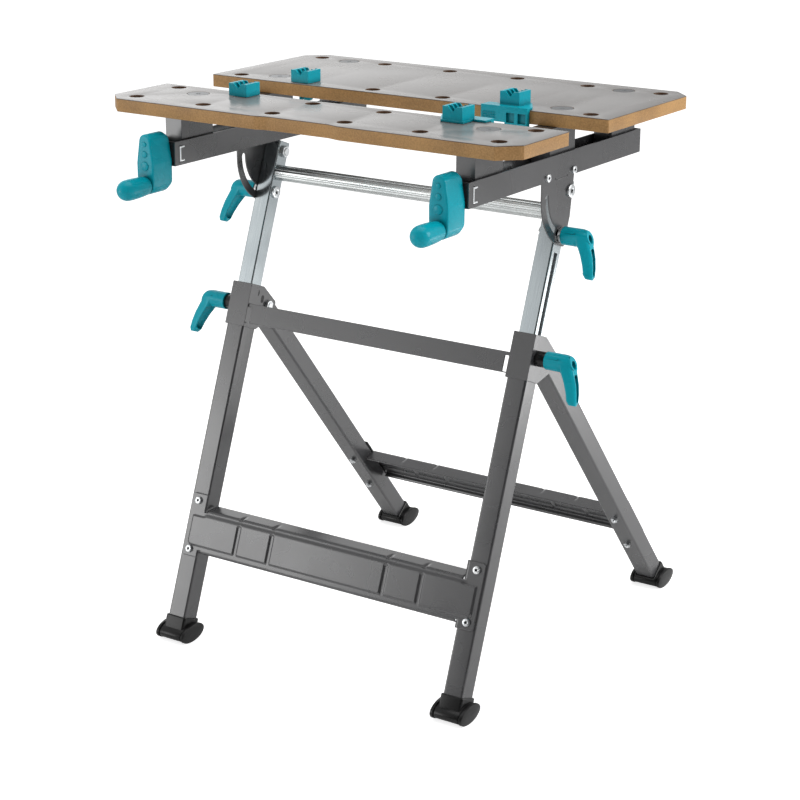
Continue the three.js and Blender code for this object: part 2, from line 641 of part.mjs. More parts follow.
// Tilt studs through the upper leg and the slot of the tilt plate
const washerIn = railOut + SEAT;
const tiltHubIn = washerIn + TILT_WASHER + SEAT;
const tiltStud = join(
  rod("x", 0, -TILT.slotRadius, TILT.stud, pivotNutOut - CUT, tiltHubIn + LEVER.bore - SEAT),
  rod("x", 0, -TILT.slotRadius, PIVOT.headRadius, pivotNutOut - PIVOT.headThick, pivotNutOut),
  rod("x", 0, -TILT.slotRadius, REAR_PIVOT.headRadius + TILT.stud, washerIn, washerIn + TILT_WASHER),
);
pair(frontLegs, "tilt_stud", tiltStud, ZINC);

// Clamp levers: a round hub along X and an arm that flares outwards on its way down
const lineAt = (line, down, key = "x") => {
  const k = Math.max(1, line.findIndex((point) => point.down >= down));
  const [a, b] = [line[k - 1], line[k]];
  return a[key] + ((b[key] - a[key]) * (down - a.down)) / (b.down - a.down);
};
const leverRing = ({ down, x, half }) => {
  const outer = lineAt(LEVER_OUTER, down);
  const radius = Math.min(half, (outer - x) / 2) * LEVER.roundness;
  const narrowing = (LEVER.innerSpread - LEVER.outerSpread) / (outer - x);
  const spread = (a) => LEVER.innerSpread - (a - x) * narrowing;
  return roundedRect(x, outer, -half, half, radius).map(([a, b]) => [a, b * spread(a), -down]);
};
const leverHalf = LEVER_HUB[0].radius + CUT;
const leverSide = [
  [0, leverHalf],
  ...LEVER_OUTER.map(({ down, x }) => [x, -down]),
  [0, -LEVER_OUTER[LEVER_OUTER.length - 1].down],
];
const recessFloor = LEVER_RECESS.at - LEVER_RECESS.deep;
const leverRecess = rod("x", 0, 0, LEVER_RECESS.radius, recessFloor, LEVER_RECESS.at + LEVER_RECESS.deep);

// A long groove sunk into one side of the arm, which keeps a rim on both edges
function armGroove(line, { rim, deep, spread }) {
  const rings = LEVER_OPENING.map(({ down, share }) => {
    const middle = lineAt(line, down);
    const half = (lineAt(LEVER_ARM, down, "half") * spread - rim) * share;
    const outline = roundedRect(middle - deep, middle + deep, -half, half, half * LEVER.roundness);
    return outline.map(([a, b]) => [a, b, -down]);
  });
  return loft(rings);
}
const armGrooves = [armGroove(LEVER_OUTER, LEVER_SLOT), armGroove(LEVER_ARM, LEVER_GROOVE)];
const hubRings = LEVER_HUB.map(({ x, radius }) => ring(0, 0, radius, FINE).map((point) => [x, ...point]));
function lever(stud) {
  const solidLever = join(loft(hubRings), loft(LEVER_ARM.map(leverRing)));
  const trimmed = solidLever.intersect(prism("y", leverSide, -leverHalf, leverHalf));
  return cut(trimmed, rod("x", 0, 0, stud + BORE, -CUT, LEVER.bore), leverRecess, ...armGrooves);
}
pair(frontLegs, "tilt_lever", lever(TILT.stud).translate([tiltHubIn, 0, -TILT.slotRadius]), TEAL);

// Collars: folded sheet round the top of each front leg, its cheeks carry the rear legs
const cheekIn = legIn - SEAT;
const cheekOut = legOut + SEAT;
const face = -legHalf - SEAT;
const pivotAt = [REAR_PIVOT.back, -REAR_PIVOT.down];
const cheekOutline = [
  [face - COLLAR.thick, -COLLAR.top],
  [legHalf - COLLAR.shoulder, -COLLAR.top],
  ...arc(...pivotAt, CHEEK.radius, CHEEK.from, CHEEK.to, CHEEK.steps),
  [CHEEK.lowBack, -CHEEK.low],
  [legHalf - COLLAR.heel, -COLLAR.bottom - CUT],
  [face - COLLAR.thick, -COLLAR.bottom],
];
const pivotHole = rod(
  "x",
  ...pivotAt,
  REAR_PIVOT.bolt + BORE,
  cheekIn - COLLAR.thick - CUT,
  cheekOut + COLLAR.thick + CUT,
);
const collar = cut(
  join(
    prism("x", cheekOutline, cheekIn - COLLAR.thick, cheekIn),
    prism("x", cheekOutline, cheekOut, cheekOut + COLLAR.thick),
    box(cheekIn - CUT, cheekOut + CUT, face - COLLAR.thick, face, -COLLAR.bottom, -COLLAR.top),
  ),
  pivotHole,
  studHole(LEG.middle, cheekOut + COLLAR.thick + CUT),
);
pair(frontLegs, "collar", collar, POWDER);

// Height clamp: tee stud in the slot of the upper leg, bushing and lever
const slotFace = upperOut - UPPER.wall - SEAT;
const bushIn = cheekOut + COLLAR.thick + SEAT;
const bushOut = bushIn + BUSHING.long;
const heightHubIn = bushOut + SEAT;
const heightStud = join(
  box(
    slotFace - HEIGHT.headThick,
    slotFace,
    -HEIGHT.headWide / 2,
    HEIGHT.headWide / 2,
    -HEIGHT.down - HEIGHT.headLong / 2,
    -HEIGHT.down + HEIGHT.headLong / 2,
  ),
  rod("x", 0, -HEIGHT.down, HEIGHT.stud, slotFace - CUT, heightHubIn + LEVER.bore - SEAT),
);
pair(frontLegs, "height_stud", heightStud, ZINC);
const bushing = cut(
  rod("x", 0, -HEIGHT.down, BUSHING.radius, bushIn, bushOut, FINE),
  studHole(bushIn - CUT, bushOut + CUT),
);
pair(frontLegs, "height_bushing", bushing, BLACK);
pair(frontLegs, "height_lever", lever(HEIGHT.stud).translate([heightHubIn, 0, -HEIGHT.down]), TEAL);

// Front crossbar between the collars
const barEnd = cheekIn - COLLAR.thick - SEAT;
const plateEndX = barEnd - CROSSBAR.short;
const barSection = [
  [-legHalf, -CROSSBAR.top],
  [-legHalf + CROSSBAR.flange, -CROSSBAR.top],
  [-legHalf + CROSSBAR.flange, -CROSSBAR.top - CROSSBAR.sheet],
  [-legHalf + CROSSBAR.sheet, -CROSSBAR.top - CROSSBAR.sheet],
  [-legHalf + CROSSBAR.sheet, -CROSSBAR.bottom + CROSSBAR.sheet],
  [-legHalf + CROSSBAR.flange, -CROSSBAR.bottom + CROSSBAR.sheet],
  [-legHalf + CROSSBAR.flange, -CROSSBAR.bottom],
  [-legHalf, -CROSSBAR.bottom],
];
const barNotch = (x0, x1) =>
  box(x0, x1, -legHalf - CUT, legHalf, -CROSSBAR.bottom - CUT, -CROSSBAR.top - CROSSBAR.tab);
const crossbar = cut(
  prism("x", barSection, -barEnd, barEnd),
  barNotch(plateEndX, barEnd + CUT),
  barNotch(-barEnd - CUT, -plateEndX),
);
piece(frontLegs, "front_crossbar", crossbar, POWDER);

// Panels: a plate with end tabs over the legs, a top flange, a bottom lip and raised fields
function panel(face, shift) {
  const front = face - PANEL.sheet;
  const up = (down) => shift - down;
  const end = legIn - PANEL_END_GAP;
  const rise = Math.tan(LEAN) * PANEL.flange * Math.cos(LEAN);
  const deep = PANEL.flange * Math.cos(LEAN);
  const section = [
    [front, up(PANEL.top)],
    [front + deep, up(PANEL.top) + rise],
    [front + deep, up(PANEL.top) + rise - PANEL.sheet],
    [face, up(PANEL.top) - PANEL.sheet],
    [face, up(PANEL.bottom) + PANEL.sheet],
    [front + PANEL.lip, up(PANEL.bottom) + PANEL.sheet],
    [front + PANEL.lip, up(PANEL.bottom)],
    [front, up(PANEL.bottom)],
  ];
  const tabEnd = legOut - LEG.corner;
  const tab = (side) =>
    side > 0
      ? box(end - CUT, tabEnd, front, face, up(PANEL.tabBottom), up(PANEL.tabTop))
      : box(-tabEnd, CUT - end, front, face, up(PANEL.tabBottom), up(PANEL.tabTop));
  const narrowIn = PANEL_FIELD.half + PANEL_FIELD.groove;
  const narrowOut = narrowIn + PANEL_FIELD.narrow;
  const wideIn = narrowOut + PANEL_FIELD.groove;
  const wideOut = legOut - PANEL_FIELD.rim;
  const fields = [
    [-wideOut, -wideIn],
    [-narrowOut, -narrowIn],
    [-PANEL_FIELD.half, PANEL_FIELD.half],
    [narrowIn, narrowOut],
    [wideIn, wideOut],
  ].map(([x0, x1]) =>
    box(x0, x1, front - PANEL_FIELD.rise, front + CUT / 2, up(PANEL_FIELD.bottom), up(PANEL_FIELD.top)),
  );
  return join(prism("x", section, -end, end), tab(1), tab(-1), ...fields);
}
piece(frontLegs, "front_panel", panel(face, 0), POWDER);

// Feet: rounded pads with a sleeve round the end of the leg and a flat where they stand
function foot(down, lean, tilt, halfDeep) {
  const turned = ([y, z], angle) => [
    y * Math.cos(angle) - z * Math.sin(angle),
    y * Math.sin(angle) + z * Math.cos(angle) - down,
  ];
  const pad = ring(0, 0, 1, FINE).map(([y, z]) => turned([y * FOOT.deep, z * FOOT.high], tilt - lean));
  const ground = [
    [-FOOT.long, -FOOT.ground],
    [FOOT.long, -FOOT.ground],
    [FOOT.long, -FOOT.long],
    [-FOOT.long, -FOOT.long],
  ].map((point) => turned(point, -lean));
  const sleeve = SLEEVE.width / 2;
  const sleeveDeep = sleeve - legHalf + halfDeep;
  const [x0, x1] = [LEG.middle - FOOT.long / 2, LEG.middle + FOOT.long / 2];
  const socket = legHalf + SEAT;
  const sleeveOutline = roundedRect(
    LEG.middle - sleeve,
    LEG.middle + sleeve,
    -sleeveDeep,
    sleeveDeep,
    LEG.corner,
  );
  return cut(
    join(prism("x", pad, x0, x1), prism("z", sleeveOutline, -down, SLEEVE.up - down)),
    prism("x", ground, x0 - CUT, x1 + CUT),
    box(
      LEG.middle - socket,
      LEG.middle + socket,
      -halfDeep - SEAT,
      halfDeep + SEAT,
      SLEEVE.floor - down - SEAT,
      SLEEVE.up - down + CUT,
    ),
  );
}
const frontFootDown = LEG.bottom + FOOT.below;
pair(frontLegs, "front_foot", foot(frontFootDown, -LEAN, FRONT_FOOT_TILT, legHalf), BLACK);

// Rear legs turn on the collar cheeks and reach down to the height of the front feet
const footZ = PIVOT.z - frontFootDown * Math.cos(LEAN);
const rearPivotZ = PIVOT.z - REAR_PIVOT.back * Math.sin(LEAN) - REAR_PIVOT.down * Math.cos(LEAN);
const rearFootDown = (rearPivotZ - footZ) / Math.cos(REAR_LEAN);
const rearBottom = rearFootDown - FOOT.below;
const rearHalf = REAR_LEG.deep / 2;
const rearInside = rearHalf - LEG.wall;
const rearTube = cut(
  prism("z", roundedRect(legIn, legOut, -rearHalf, rearHalf, LEG.corner), -rearBottom, REAR_LEG.crown),
  prism(
    "z",
    roundedRect(legIn + LEG.wall, legOut - LEG.wall, -rearInside, rearInside, LEG.corner / 2),
    -rearBottom - CUT,
    REAR_LEG.crown + CUT,
  ),
);
const crown = join(
  rod("x", 0, 0, REAR_LEG.crown, legIn - CUT, legOut + CUT, FINE),
  box(legIn - CUT, legOut + CUT, -LEG.width, LEG.width, -rearBottom - CUT, 0),
);
const rearLeg = cut(
  rearTube.intersect(crown),
  rod("x", 0, 0, REAR_PIVOT.bolt + BORE, legIn - CUT, legOut + CUT),
);
pair(rearLegs, "rear_leg", rearLeg, POWDER);
const rearNutOut = cheekIn - COLLAR.thick - SEAT;
const rearNutIn = rearNutOut - REAR_PIVOT.nutThick;
const rearBolt = join(
  rod("x", ...pivotAt, REAR_PIVOT.bolt, rearNutIn, bushIn + CUT),
  rod("x", ...pivotAt, REAR_PIVOT.headRadius, rearNutIn, rearNutOut, HEX),
  rod("x", ...pivotAt, REAR_PIVOT.headRadius, bushIn, bushIn + REAR_PIVOT.headThick),
);
pair(frontLegs, "rear_pivot_bolt", rearBolt, ZINC);
const rearPanel = panel(-rearHalf - SEAT, PANEL_REAR_SHIFT).mirror([0, 1, 0]);
piece(rearLegs, "rear_panel", rearPanel, POWDER);
pair(rearLegs, "rear_foot", foot(rearFootDown, REAR_LEAN, REAR_FOOT_TILT, rearHalf), BLACK);

// The part's frame: middle of the outline in X and Y, lowest point at zero
root.updateMatrixWorld(true);
const bounds = new THREE.Box3().setFromObject(root, true);
const middle = bounds.getCenter(new THREE.Vector3());
root.children.forEach((group) => group.position.sub(new THREE.Vector3(middle.x, middle.y, bounds.min.z)));

export default root;
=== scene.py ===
# %% [markdown]
# # A folding workbench
# The bench is a steel frame that folds flat, with two laminated boards on top that close like a
# vise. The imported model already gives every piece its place, so this script only dresses it: it
# rounds the edges that a press or a mould would round, adds the small fasteners, and gives each
# surface its finish. Sizes of the bench are in millimetres and are turned to metres by one factor.

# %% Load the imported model
import json
import math

import bmesh
import bpy
import numpy as np
from mathutils import Matrix, Vector
from mathutils.geometry import delaunay_2d_cdt


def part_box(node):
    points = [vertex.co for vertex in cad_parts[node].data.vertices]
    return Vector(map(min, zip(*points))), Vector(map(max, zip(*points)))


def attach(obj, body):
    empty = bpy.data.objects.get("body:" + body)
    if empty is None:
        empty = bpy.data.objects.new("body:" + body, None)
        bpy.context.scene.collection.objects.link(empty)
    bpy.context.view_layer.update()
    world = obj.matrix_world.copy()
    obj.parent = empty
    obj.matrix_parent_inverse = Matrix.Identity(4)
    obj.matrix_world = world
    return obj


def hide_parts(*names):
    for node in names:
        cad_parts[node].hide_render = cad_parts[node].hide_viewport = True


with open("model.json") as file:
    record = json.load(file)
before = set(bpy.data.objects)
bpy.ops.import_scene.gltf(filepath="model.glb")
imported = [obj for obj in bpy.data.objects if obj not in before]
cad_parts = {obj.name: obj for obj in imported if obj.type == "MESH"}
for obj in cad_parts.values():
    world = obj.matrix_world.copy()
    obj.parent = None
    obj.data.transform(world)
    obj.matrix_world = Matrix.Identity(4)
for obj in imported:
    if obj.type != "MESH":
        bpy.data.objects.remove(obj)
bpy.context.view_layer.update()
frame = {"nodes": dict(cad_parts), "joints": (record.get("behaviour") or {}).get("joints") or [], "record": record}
nodes = frame["nodes"]
record = frame["record"]
joints = {joint["name"]: joint for joint in frame["joints"]}
body_of = {node: body for body, group in record["behaviour"]["bodies"].items() for node in group}
slot_of = {part["node"]: part["material_slot"] for part in record["subparts"]}

# %% [markdown]
# ## Three places to work in
# The table stands square to the floor, but the front legs lean back and the rear legs lean the
# other way. It is far easier to shape a foot or a panel in the leg's own directions: along X,
# back from the leg's middle line, and down the leg. Three small functions turn such a place in
# millimetres into the frame of the model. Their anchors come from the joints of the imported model.

# %% Table, front legs and rear legs
MM = 0.001
SIDES = {"left": -1, "right": 1}
FRONT_JAW_EDGE = -246.5  # the front jaw's front edge, measured from the middle of the table
TABLE_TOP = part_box("front_jaw")[1].z
TABLE_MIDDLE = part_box("front_jaw")[0].y - FRONT_JAW_EDGE * MM
TILT_PIVOT = np.array(joints["table_tilt"]["pos_m"])
FOLD_PIVOT = np.array(joints["rear_fold"]["pos_m"])
LEAN = math.atan2(*joints["height_slide"]["axis"][1:])
REAR_LEAN = math.radians(40)


def on_table(x, y, z):
    """A place measured from the middle of the table's top face, y back and z up."""
    x, y, z = np.broadcast_arrays(x, y, z)
    return np.stack([x * MM, TABLE_MIDDLE + y * MM, TABLE_TOP + z * MM], -1)


def on_front_leg(x, back, down):
    """A place measured from the tilt pivot, back from the leg's middle line and down along the leg."""
    x, back, down = np.broadcast_arrays(x, back, down)
    y = back * math.cos(LEAN) - down * math.sin(LEAN)
    z = -back * math.sin(LEAN) - down * math.cos(LEAN)
    return np.stack([x, y, z], -1) * MM + TILT_PIVOT


def on_rear_leg(x, back, down):
    """The same for a rear leg, measured from the pivot that it folds on."""
    x, back, down = np.broadcast_arrays(x, back, down)
    y = back * math.cos(REAR_LEAN) + down * math.sin(REAR_LEAN)
    z = back * math.sin(REAR_LEAN) - down * math.cos(REAR_LEAN)
    return np.stack([x, y, z], -1) * MM + FOLD_PIVOT


print("lean of the front legs", round(math.degrees(LEAN), 1), "degrees")

# %% [markdown]
# ## Finishes
# Every finish is a Principled shader fed by noise in Object coordinates, so that nothing depends
# on a texture file and the grain keeps its real size. A speckled finish mixes two close colours
# with a fine grain, lets the roughness wander with a larger cloud, and raises the grain as bump.

# %% Helpers for the finishes
CLOUD_MM = 70
GRAIN = {"Detail": 3.0, "Roughness": 0.6}
CLOUD = {"Detail": 2.0}
SPREAD = {"From Min": 0.75, "From Max": 1.25}  # grain and cloud together, from the deep colour to the pale
WANDER = {"From Min": 0.3, "From Max": 0.7}  # the cloud alone, from the low roughness to the high
RELIEF = 0.5
FIRST_COLOUR, SECOND_COLOUR = 6, 7  # the colour sockets of a Mix node


def linear(hex_colour):
    """An sRGB hex colour as linear RGBA."""
    srgb = np.array([int(hex_colour[i:i + 2], 16) for i in (1, 3, 5)]) / 255
    bent = np.where(srgb <= 0.04045, srgb / 12.92, ((srgb + 0.055) / 1.055) ** 2.4)
    return (*bent.tolist(), 1.0)


def add(tree, kind, inputs=None, **settings):
    """Adds a node: settings are its own properties, inputs are values or outputs of other nodes."""
    made = tree.nodes.new("ShaderNode" + kind)
    for key, value in settings.items():
        setattr(made, key, value)
    for key, value in (inputs or {}).items():
        if isinstance(value, bpy.types.NodeSocket):
            tree.links.new(value, made.inputs[key])
        else:
            made.inputs[key].default_value = value
    return made


def speckled(name, pale, deep, grain_mm, roughness, relief_mm, stretch=(1, 1, 1), turn=0.0, sockets=None):
    """A Principled finish whose colour and roughness wander with noise: the material and its shader.
    The grain may be stretched along an axis, after a turn about X."""
    made = bpy.data.materials.new(name)
    made.use_nodes = True
    tree = made.node_tree
    tree.nodes.clear()
    place = add(tree, "TexCoord").outputs["Object"]
    turned = add(tree, "Mapping", {"Vector": place, "Rotation": (turn, 0, 0)}).outputs["Vector"]
    drawn = add(tree, "Mapping", {"Vector": turned, "Scale": stretch}).outputs["Vector"]
    grain_in = {"Vector": drawn, "Scale": 1 / (grain_mm * MM), **GRAIN}
    grain = add(tree, "TexNoise", grain_in).outputs["Fac"]
    cloud_in = {"Vector": place, "Scale": 1 / (CLOUD_MM * MM), **CLOUD}
    cloud = add(tree, "TexNoise", cloud_in).outputs["Fac"]
    both = add(tree, "Math", {0: grain, 1: cloud}, operation="ADD").outputs[0]
    share = add(tree, "MapRange", {"Value": both, **SPREAD}).outputs["Result"]
    colour_in = {0: share, FIRST_COLOUR: linear(deep), SECOND_COLOUR: linear(pale)}
    colour = add(tree, "Mix", colour_in, data_type="RGBA").outputs[2]
    low, high = roughness
    rough_in = {"Value": cloud, **WANDER, "To Min": low, "To Max": high}
    rough = add(tree, "MapRange", rough_in).outputs["Result"]
    bump_in = {"Height": grain, "Strength": RELIEF, "Distance": relief_mm * MM}
    bump = add(tree, "Bump", bump_in).outputs["Normal"]
    shader_in = {"Base Color": colour, "Roughness": rough, "Normal": bump, **(sockets or {})}
    shader = add(tree, "BsdfPrincipled", shader_in)
    add(tree, "OutputMaterial", {"Surface": shader.outputs[0]})
    return made, shader


# %% [markdown]
# ## The finishes of this bench
# Powder coat is baked polyester: satin, with a very fine orange peel. Zinc is plated on drawn
# tube, so its streaks run along the tube. The boards are fibreboard with a satin laminate on top.
# The handles are moulded nylon. Where the real grain is finer than a pixel it is drawn coarser.

# %% Metals and plastics
METAL = {"Metallic": 1.0}
GLOSSY = {"Specular IOR Level": 1.0, "IOR": 1.6}
HALF_GLOSS = {"Specular IOR Level": 0.36}
SATIN = {"Specular IOR Level": 0.22}
HOLLOW_MM = 9  # hollows of the mouldings narrower than this are painted darker: painted shade
STREAK = 1 / 40  # zinc streaks are 40 times as long as wide


def powder_coated_steel():
    """Baked polyester powder on steel: a satin grey with an orange peel, drawn at 2.4 mm to show."""
    return speckled("powder_coated_steel", "#38383A", "#343436", 2.4, (0.25, 0.3), 0.002, sockets=GLOSSY)[0]


def blackened_steel_and_socket_shade():
    """Dark oiled steel of the thrust plates and tool marks; the screw sockets take the same dark colour as painted
    shade.
    """
    return speckled("blackened_steel_and_socket_shade", "#2E2E30", "#202022", 3.0, (0.4, 0.55), 0.02)[0]


def zinc_plated_tube(lean):
    """Bright zinc on drawn tube: streaks 1.2 mm wide and about 50 mm long run along the tube."""
    return speckled("zinc_plated_tube", "#C6CED0", "#B4BCC0", 1.2, (0.16, 0.22), 0.004,
                    (1, 1, STREAK), lean, METAL)[0]


def zinc_plated_cross_tube():
    """The same zinc with its streaks along X."""
    return speckled("zinc_plated_cross_tube", "#DCDFDE", "#C6CACA", 1.2, (0.2, 0.3), 0.006,
                    (STREAK, 1, 1), 0.0, METAL)[0]


def zinc_plated_fastener():
    """Barrel-plated screws and nuts: bright, with a soft tumbled surface."""
    return speckled("zinc_plated_fastener", "#F0F2F3", "#D2D6D8", 2.0, (0.26, 0.36), 0.015, sockets=METAL)[0]


def dull_zinc():
    """The zinc inside the tubes: unpolished, gone matt and pale, with blotches of 4 mm."""
    return speckled("dull_zinc", "#BCC0C2", "#A4A9AC", 4.0, (0.55, 0.7), 0.01)[0]


def brushed_disc():
    """The flush discs: zinc brushed dull by use."""
    return speckled("brushed_disc", "#77797B", "#636669", 1.2, (0.3, 0.4), 0.01, sockets=METAL)[0]


def moulded_teal_nylon():
    """Glass-filled nylon from an eroded mould: even colour, satin, a fine leathery grain. Hollows narrower than 9
    mm are painted darker by an ambient occlusion node: painted shade."""
    made, shader = speckled("moulded_teal_nylon", "#06ABBD", "#049EAF", 1.6, (0.24, 0.32), 0.015,
                            sockets=SATIN)
    plain = shader.inputs["Base Color"].links[0].from_socket
    # Painted shade: ambient occlusion darkens the colour in hollows narrower than HOLLOW_MM.
    painted_hollow_shade = add(made.node_tree, "AmbientOcclusion", {"Color": plain, "Distance": HOLLOW_MM * MM})
    made.node_tree.links.new(painted_hollow_shade.outputs["Color"], shader.inputs["Base Color"])
    return made


def black_plastic_and_cut_out_shade():
    """Polypropylene feet and bushings: black, half gloss, lightly scuffed. The flat patches on the collars' cheeks
    take it too, as painted shade for the dark insides of the cut-outs."""
    return speckled("black_plastic_and_cut_out_shade", "#181818", "#121212", 2.2, (0.24, 0.32), 0.01,
                    sockets=HALF_GLOSS)[0]


POWDER = powder_coated_steel()
DARK = blackened_steel_and_socket_shade()
ZINC_LEG = zinc_plated_tube(LEAN)
ZINC_CROSS = zinc_plated_cross_tube()
ZINC_BOLT = zinc_plated_fastener()
ZINC_INSIDE = dull_zinc()
ZINC_DISC = brushed_disc()
TEAL = moulded_teal_nylon()
BLACK = black_plastic_and_cut_out_shade()
METALS = (POWDER, DARK, ZINC_LEG, ZINC_CROSS, ZINC_BOLT, ZINC_INSIDE, ZINC_DISC, TEAL, BLACK)
print("metals and plastics:", [finish.name for finish in METALS])

# %% [markdown]
# ## The finishes of the boards
# The laminate is smooth enough to mirror what stands on it. The sawn edge is matt, and the walls of the drilled
# holes are painted dark, as painted shade inside the holes.

# %% Board finishes


def satin_laminate():
    """Melamine laminate pressed against a satin plate: grey, smooth enough to mirror softly."""
    return speckled("satin_laminate", "#888583", "#848280", 1.8, (0.25, 0.28), 0.001)[0]


def laminate_core():
    """The cut edge of the laminate: brown paper under the grey face, a dark line."""
    return speckled("laminate_core", "#6B5138", "#4A3625", 2.0, (0.5, 0.6), 0.01)[0]


def sawn_fibreboard():
    """Sawn and sanded edge of medium-density fibreboard: tan, with fibre specks drawn at 2.2 mm."""
    return speckled("sawn_fibreboard", "#C0945D", "#9A7342", 2.2, (0.5, 0.65), 0.05)[0]


def drilled_fibreboard():
    """Wall of a drilled hole: painted dark brown, as painted shade inside the hole."""
    return speckled("drilled_fibreboard", "#6A4B31", "#4A3220", 1.5, (0.5, 0.6), 0.04)[0]


LAMINATE = satin_laminate()
CORE = laminate_core()
FIBRE = sawn_fibreboard()
DRILLED = drilled_fibreboard()
BOARD = [LAMINATE, CORE, FIBRE, DRILLED]
print("boards:", [finish.name for finish in BOARD])

# %% [markdown]
# ## From numbers to meshes
# A surface here is a grid of points worked out in one go. The helper weave() numbers the four
# corners of every cell of such a grid, and make() turns points and faces into an object that
# rides on a body. Points that meet are merged and all faces are turned outwards.

# %% Mesh helpers
MERGE = 1e-6
SHARP = math.radians(38)
ROUND = 48  # sides of what is turned, unless it needs more or fewer
COARSE = 24
SMALL = 16
FILLED = 1  # the kind of filling that keeps all triangles inside the outer border


def weave(rows, columns, ring=True):
    """The cells of a grid numbered row by row; in a ring the last column meets the first."""
    i, j = np.meshgrid(np.arange(rows - 1), np.arange(columns if ring else columns - 1), indexing="ij")
    k = (j + 1) % columns
    near, far = i * columns, (i + 1) * columns
    return np.stack([near + j, near + k, far + k, far + j], -1).reshape(-1, 4)


def joined(parts):
    """Several parts of (points, faces, slots) as one; a single slot holds for all faces of a part."""
    starts = np.cumsum([0] + [len(points.reshape(-1, 3)) for points, _, _ in parts])
    faces = [face for start, (_, part, _) in zip(starts, parts) for face in (part + start).tolist()]
    slots = np.concatenate([np.broadcast_to(slot, len(part)) for _, part, slot in parts])
    return np.concatenate([points.reshape(-1, 3) for points, _, _ in parts]), faces, slots


def make(name, parts, materials, body, slot, stands_for=(), sharp=SHARP, keep_turn=False):
    """A piece from parts of (points, faces, slots), riding on a body."""
    points, faces, slots = joined(parts)
    mesh = bpy.data.meshes.new(name)
    mesh.from_pydata(points.tolist(), [], faces)
    for material in materials:
        mesh.materials.append(material)
    mesh.polygons.foreach_set("material_index", slots)
    build = bmesh.new()
    build.from_mesh(mesh)
    bmesh.ops.remove_doubles(build, verts=build.verts, dist=MERGE)
    if not keep_turn:
        bmesh.ops.recalc_face_normals(build, faces=build.faces)
    build.to_mesh(mesh)
    build.free()
    return ready(bpy.data.objects.new(name, mesh), body, slot, stands_for, sharp)


def ready(piece, body, slot, stands_for, sharp):
    """Smooths a piece up to the sharp angle, links it and lets it ride."""
    bpy.context.scene.collection.objects.link(piece)
    mesh = piece.data
    mesh.polygons.foreach_set("use_smooth", np.ones(len(mesh.polygons), bool))
    mesh.set_sharp_from_angle(angle=sharp)
    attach(piece, body)
    if stands_for:
        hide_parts(*stands_for)
    return piece


def lathe(profile, place, sides=ROUND, slot=0, shape=None):
    """A profile of (radius, height) rows spun round: place(a, b, height) puts it into the frame.
    shape(radius, turn, height) may press the round into another outline, such as a hexagon."""
    radius, height = np.array(profile, float).T[:, :, None]
    turn = (np.arange(sides) * 2 * np.pi / sides)[None, :]
    radius = np.broadcast_to(radius, (len(profile), sides))
    if shape:
        radius = shape(radius, turn, height)
    points = place(radius * np.cos(turn), radius * np.sin(turn), np.broadcast_to(height, radius.shape))
    return points, weave(len(profile), sides), slot


def facing(frame_of, axis, sign, at):
    """A place function for a piece that stands on the point at, its height along one axis."""
    first, second = [k for k in range(3) if k != axis]

    def place(a, b, height):
        spot = list(at)
        spot[first] = at[first] + a
        spot[second] = at[second] + b
        spot[axis] = at[axis] + sign * height
        return frame_of(*spot)
    return place


def inset(loop, distance):
    """A closed outline moved to its left by a distance, each corner along its mitre."""
    ahead = np.roll(loop, -1, 0) - loop
    ahead /= np.linalg.norm(ahead, axis=1)[:, None]
    left = np.stack([-ahead[:, 1], ahead[:, 0]], 1)
    mitre = left + np.roll(left, 1, 0)
    mitre /= (1 + (left * np.roll(left, 1, 0)).sum(1))[:, None]
    return loop + mitre * distance


def inside(points, loop):
    """Which points lie inside a closed outline, by counting crossings of a ray along +a."""
    a, b = loop, np.roll(loop, -1, 0)
    x, y = points[:, None, 0], points[:, None, 1]
    spans = (a[:, 1] > y) != (b[:, 1] > y)
    rise = np.where(b[:, 1] == a[:, 1], 1, b[:, 1] - a[:, 1])
    return (spans & (x < (b[:, 0] - a[:, 0]) * (y - a[:, 1]) / rise + a[:, 0])).sum(1) % 2 == 1


def fill(rings):
    """Triangles between an outline, the first ring, and the holes in it."""
    flat = np.concatenate(rings)
    starts = np.cumsum([0] + [len(ring) for ring in rings])
    edges = [(s + i, s + (i + 1) % len(r)) for s, r in zip(starts, rings) for i in range(len(r))]
    made = delaunay_2d_cdt([Vector(p) for p in flat.tolist()], edges, [], FILLED, MERGE)
    origin = np.array([first[0] for first in made[3]])
    tris = origin[np.array(made[2])]
    middle = flat[tris].mean(1)
    kept = inside(middle, rings[0])
    for hole in rings[1:]:
        kept &= ~inside(middle, hole)
    return tris[kept]


def slab(outline, holes, edge, place, top_slot=0, side_slots=0, hole_slot=0, bottom_slot=0):
    """A plate: edge rows of (inset, height) are carried round the outline and round each hole, and
    the first and last rows are filled. Outlines turn left, holes turn right."""
    rings = [outline, *holes]
    rows = [[inset(ring, shift) for ring in rings] for shift, _ in edge]
    parts = []
    for k, ring in enumerate(rings):
        wall = np.stack([place(row[k][:, 0], row[k][:, 1], height) for row, (_, height) in zip(rows, edge)])
        owners = np.broadcast_to(side_slots, len(edge) - 1) if k == 0 else np.full(len(edge) - 1, hole_slot)
        parts.append((wall, weave(len(edge), len(ring)), np.repeat(owners, len(ring))))
    for row, (_, height), slot in ((rows[0], edge[0], top_slot), (rows[-1], edge[-1], bottom_slot)):
        flat = np.concatenate(row)
        parts.append((place(flat[:, 0], flat[:, 1], height), fill(row), slot))
    return parts


def circle(a, b, radius, count=ROUND, left=True):
    """A round outline that turns left, or right for a hole."""
    turn = np.arange(count) * 2 * np.pi / count * (1 if left else -1)
    return np.stack([a + radius * np.cos(turn), b + radius * np.sin(turn)], 1)


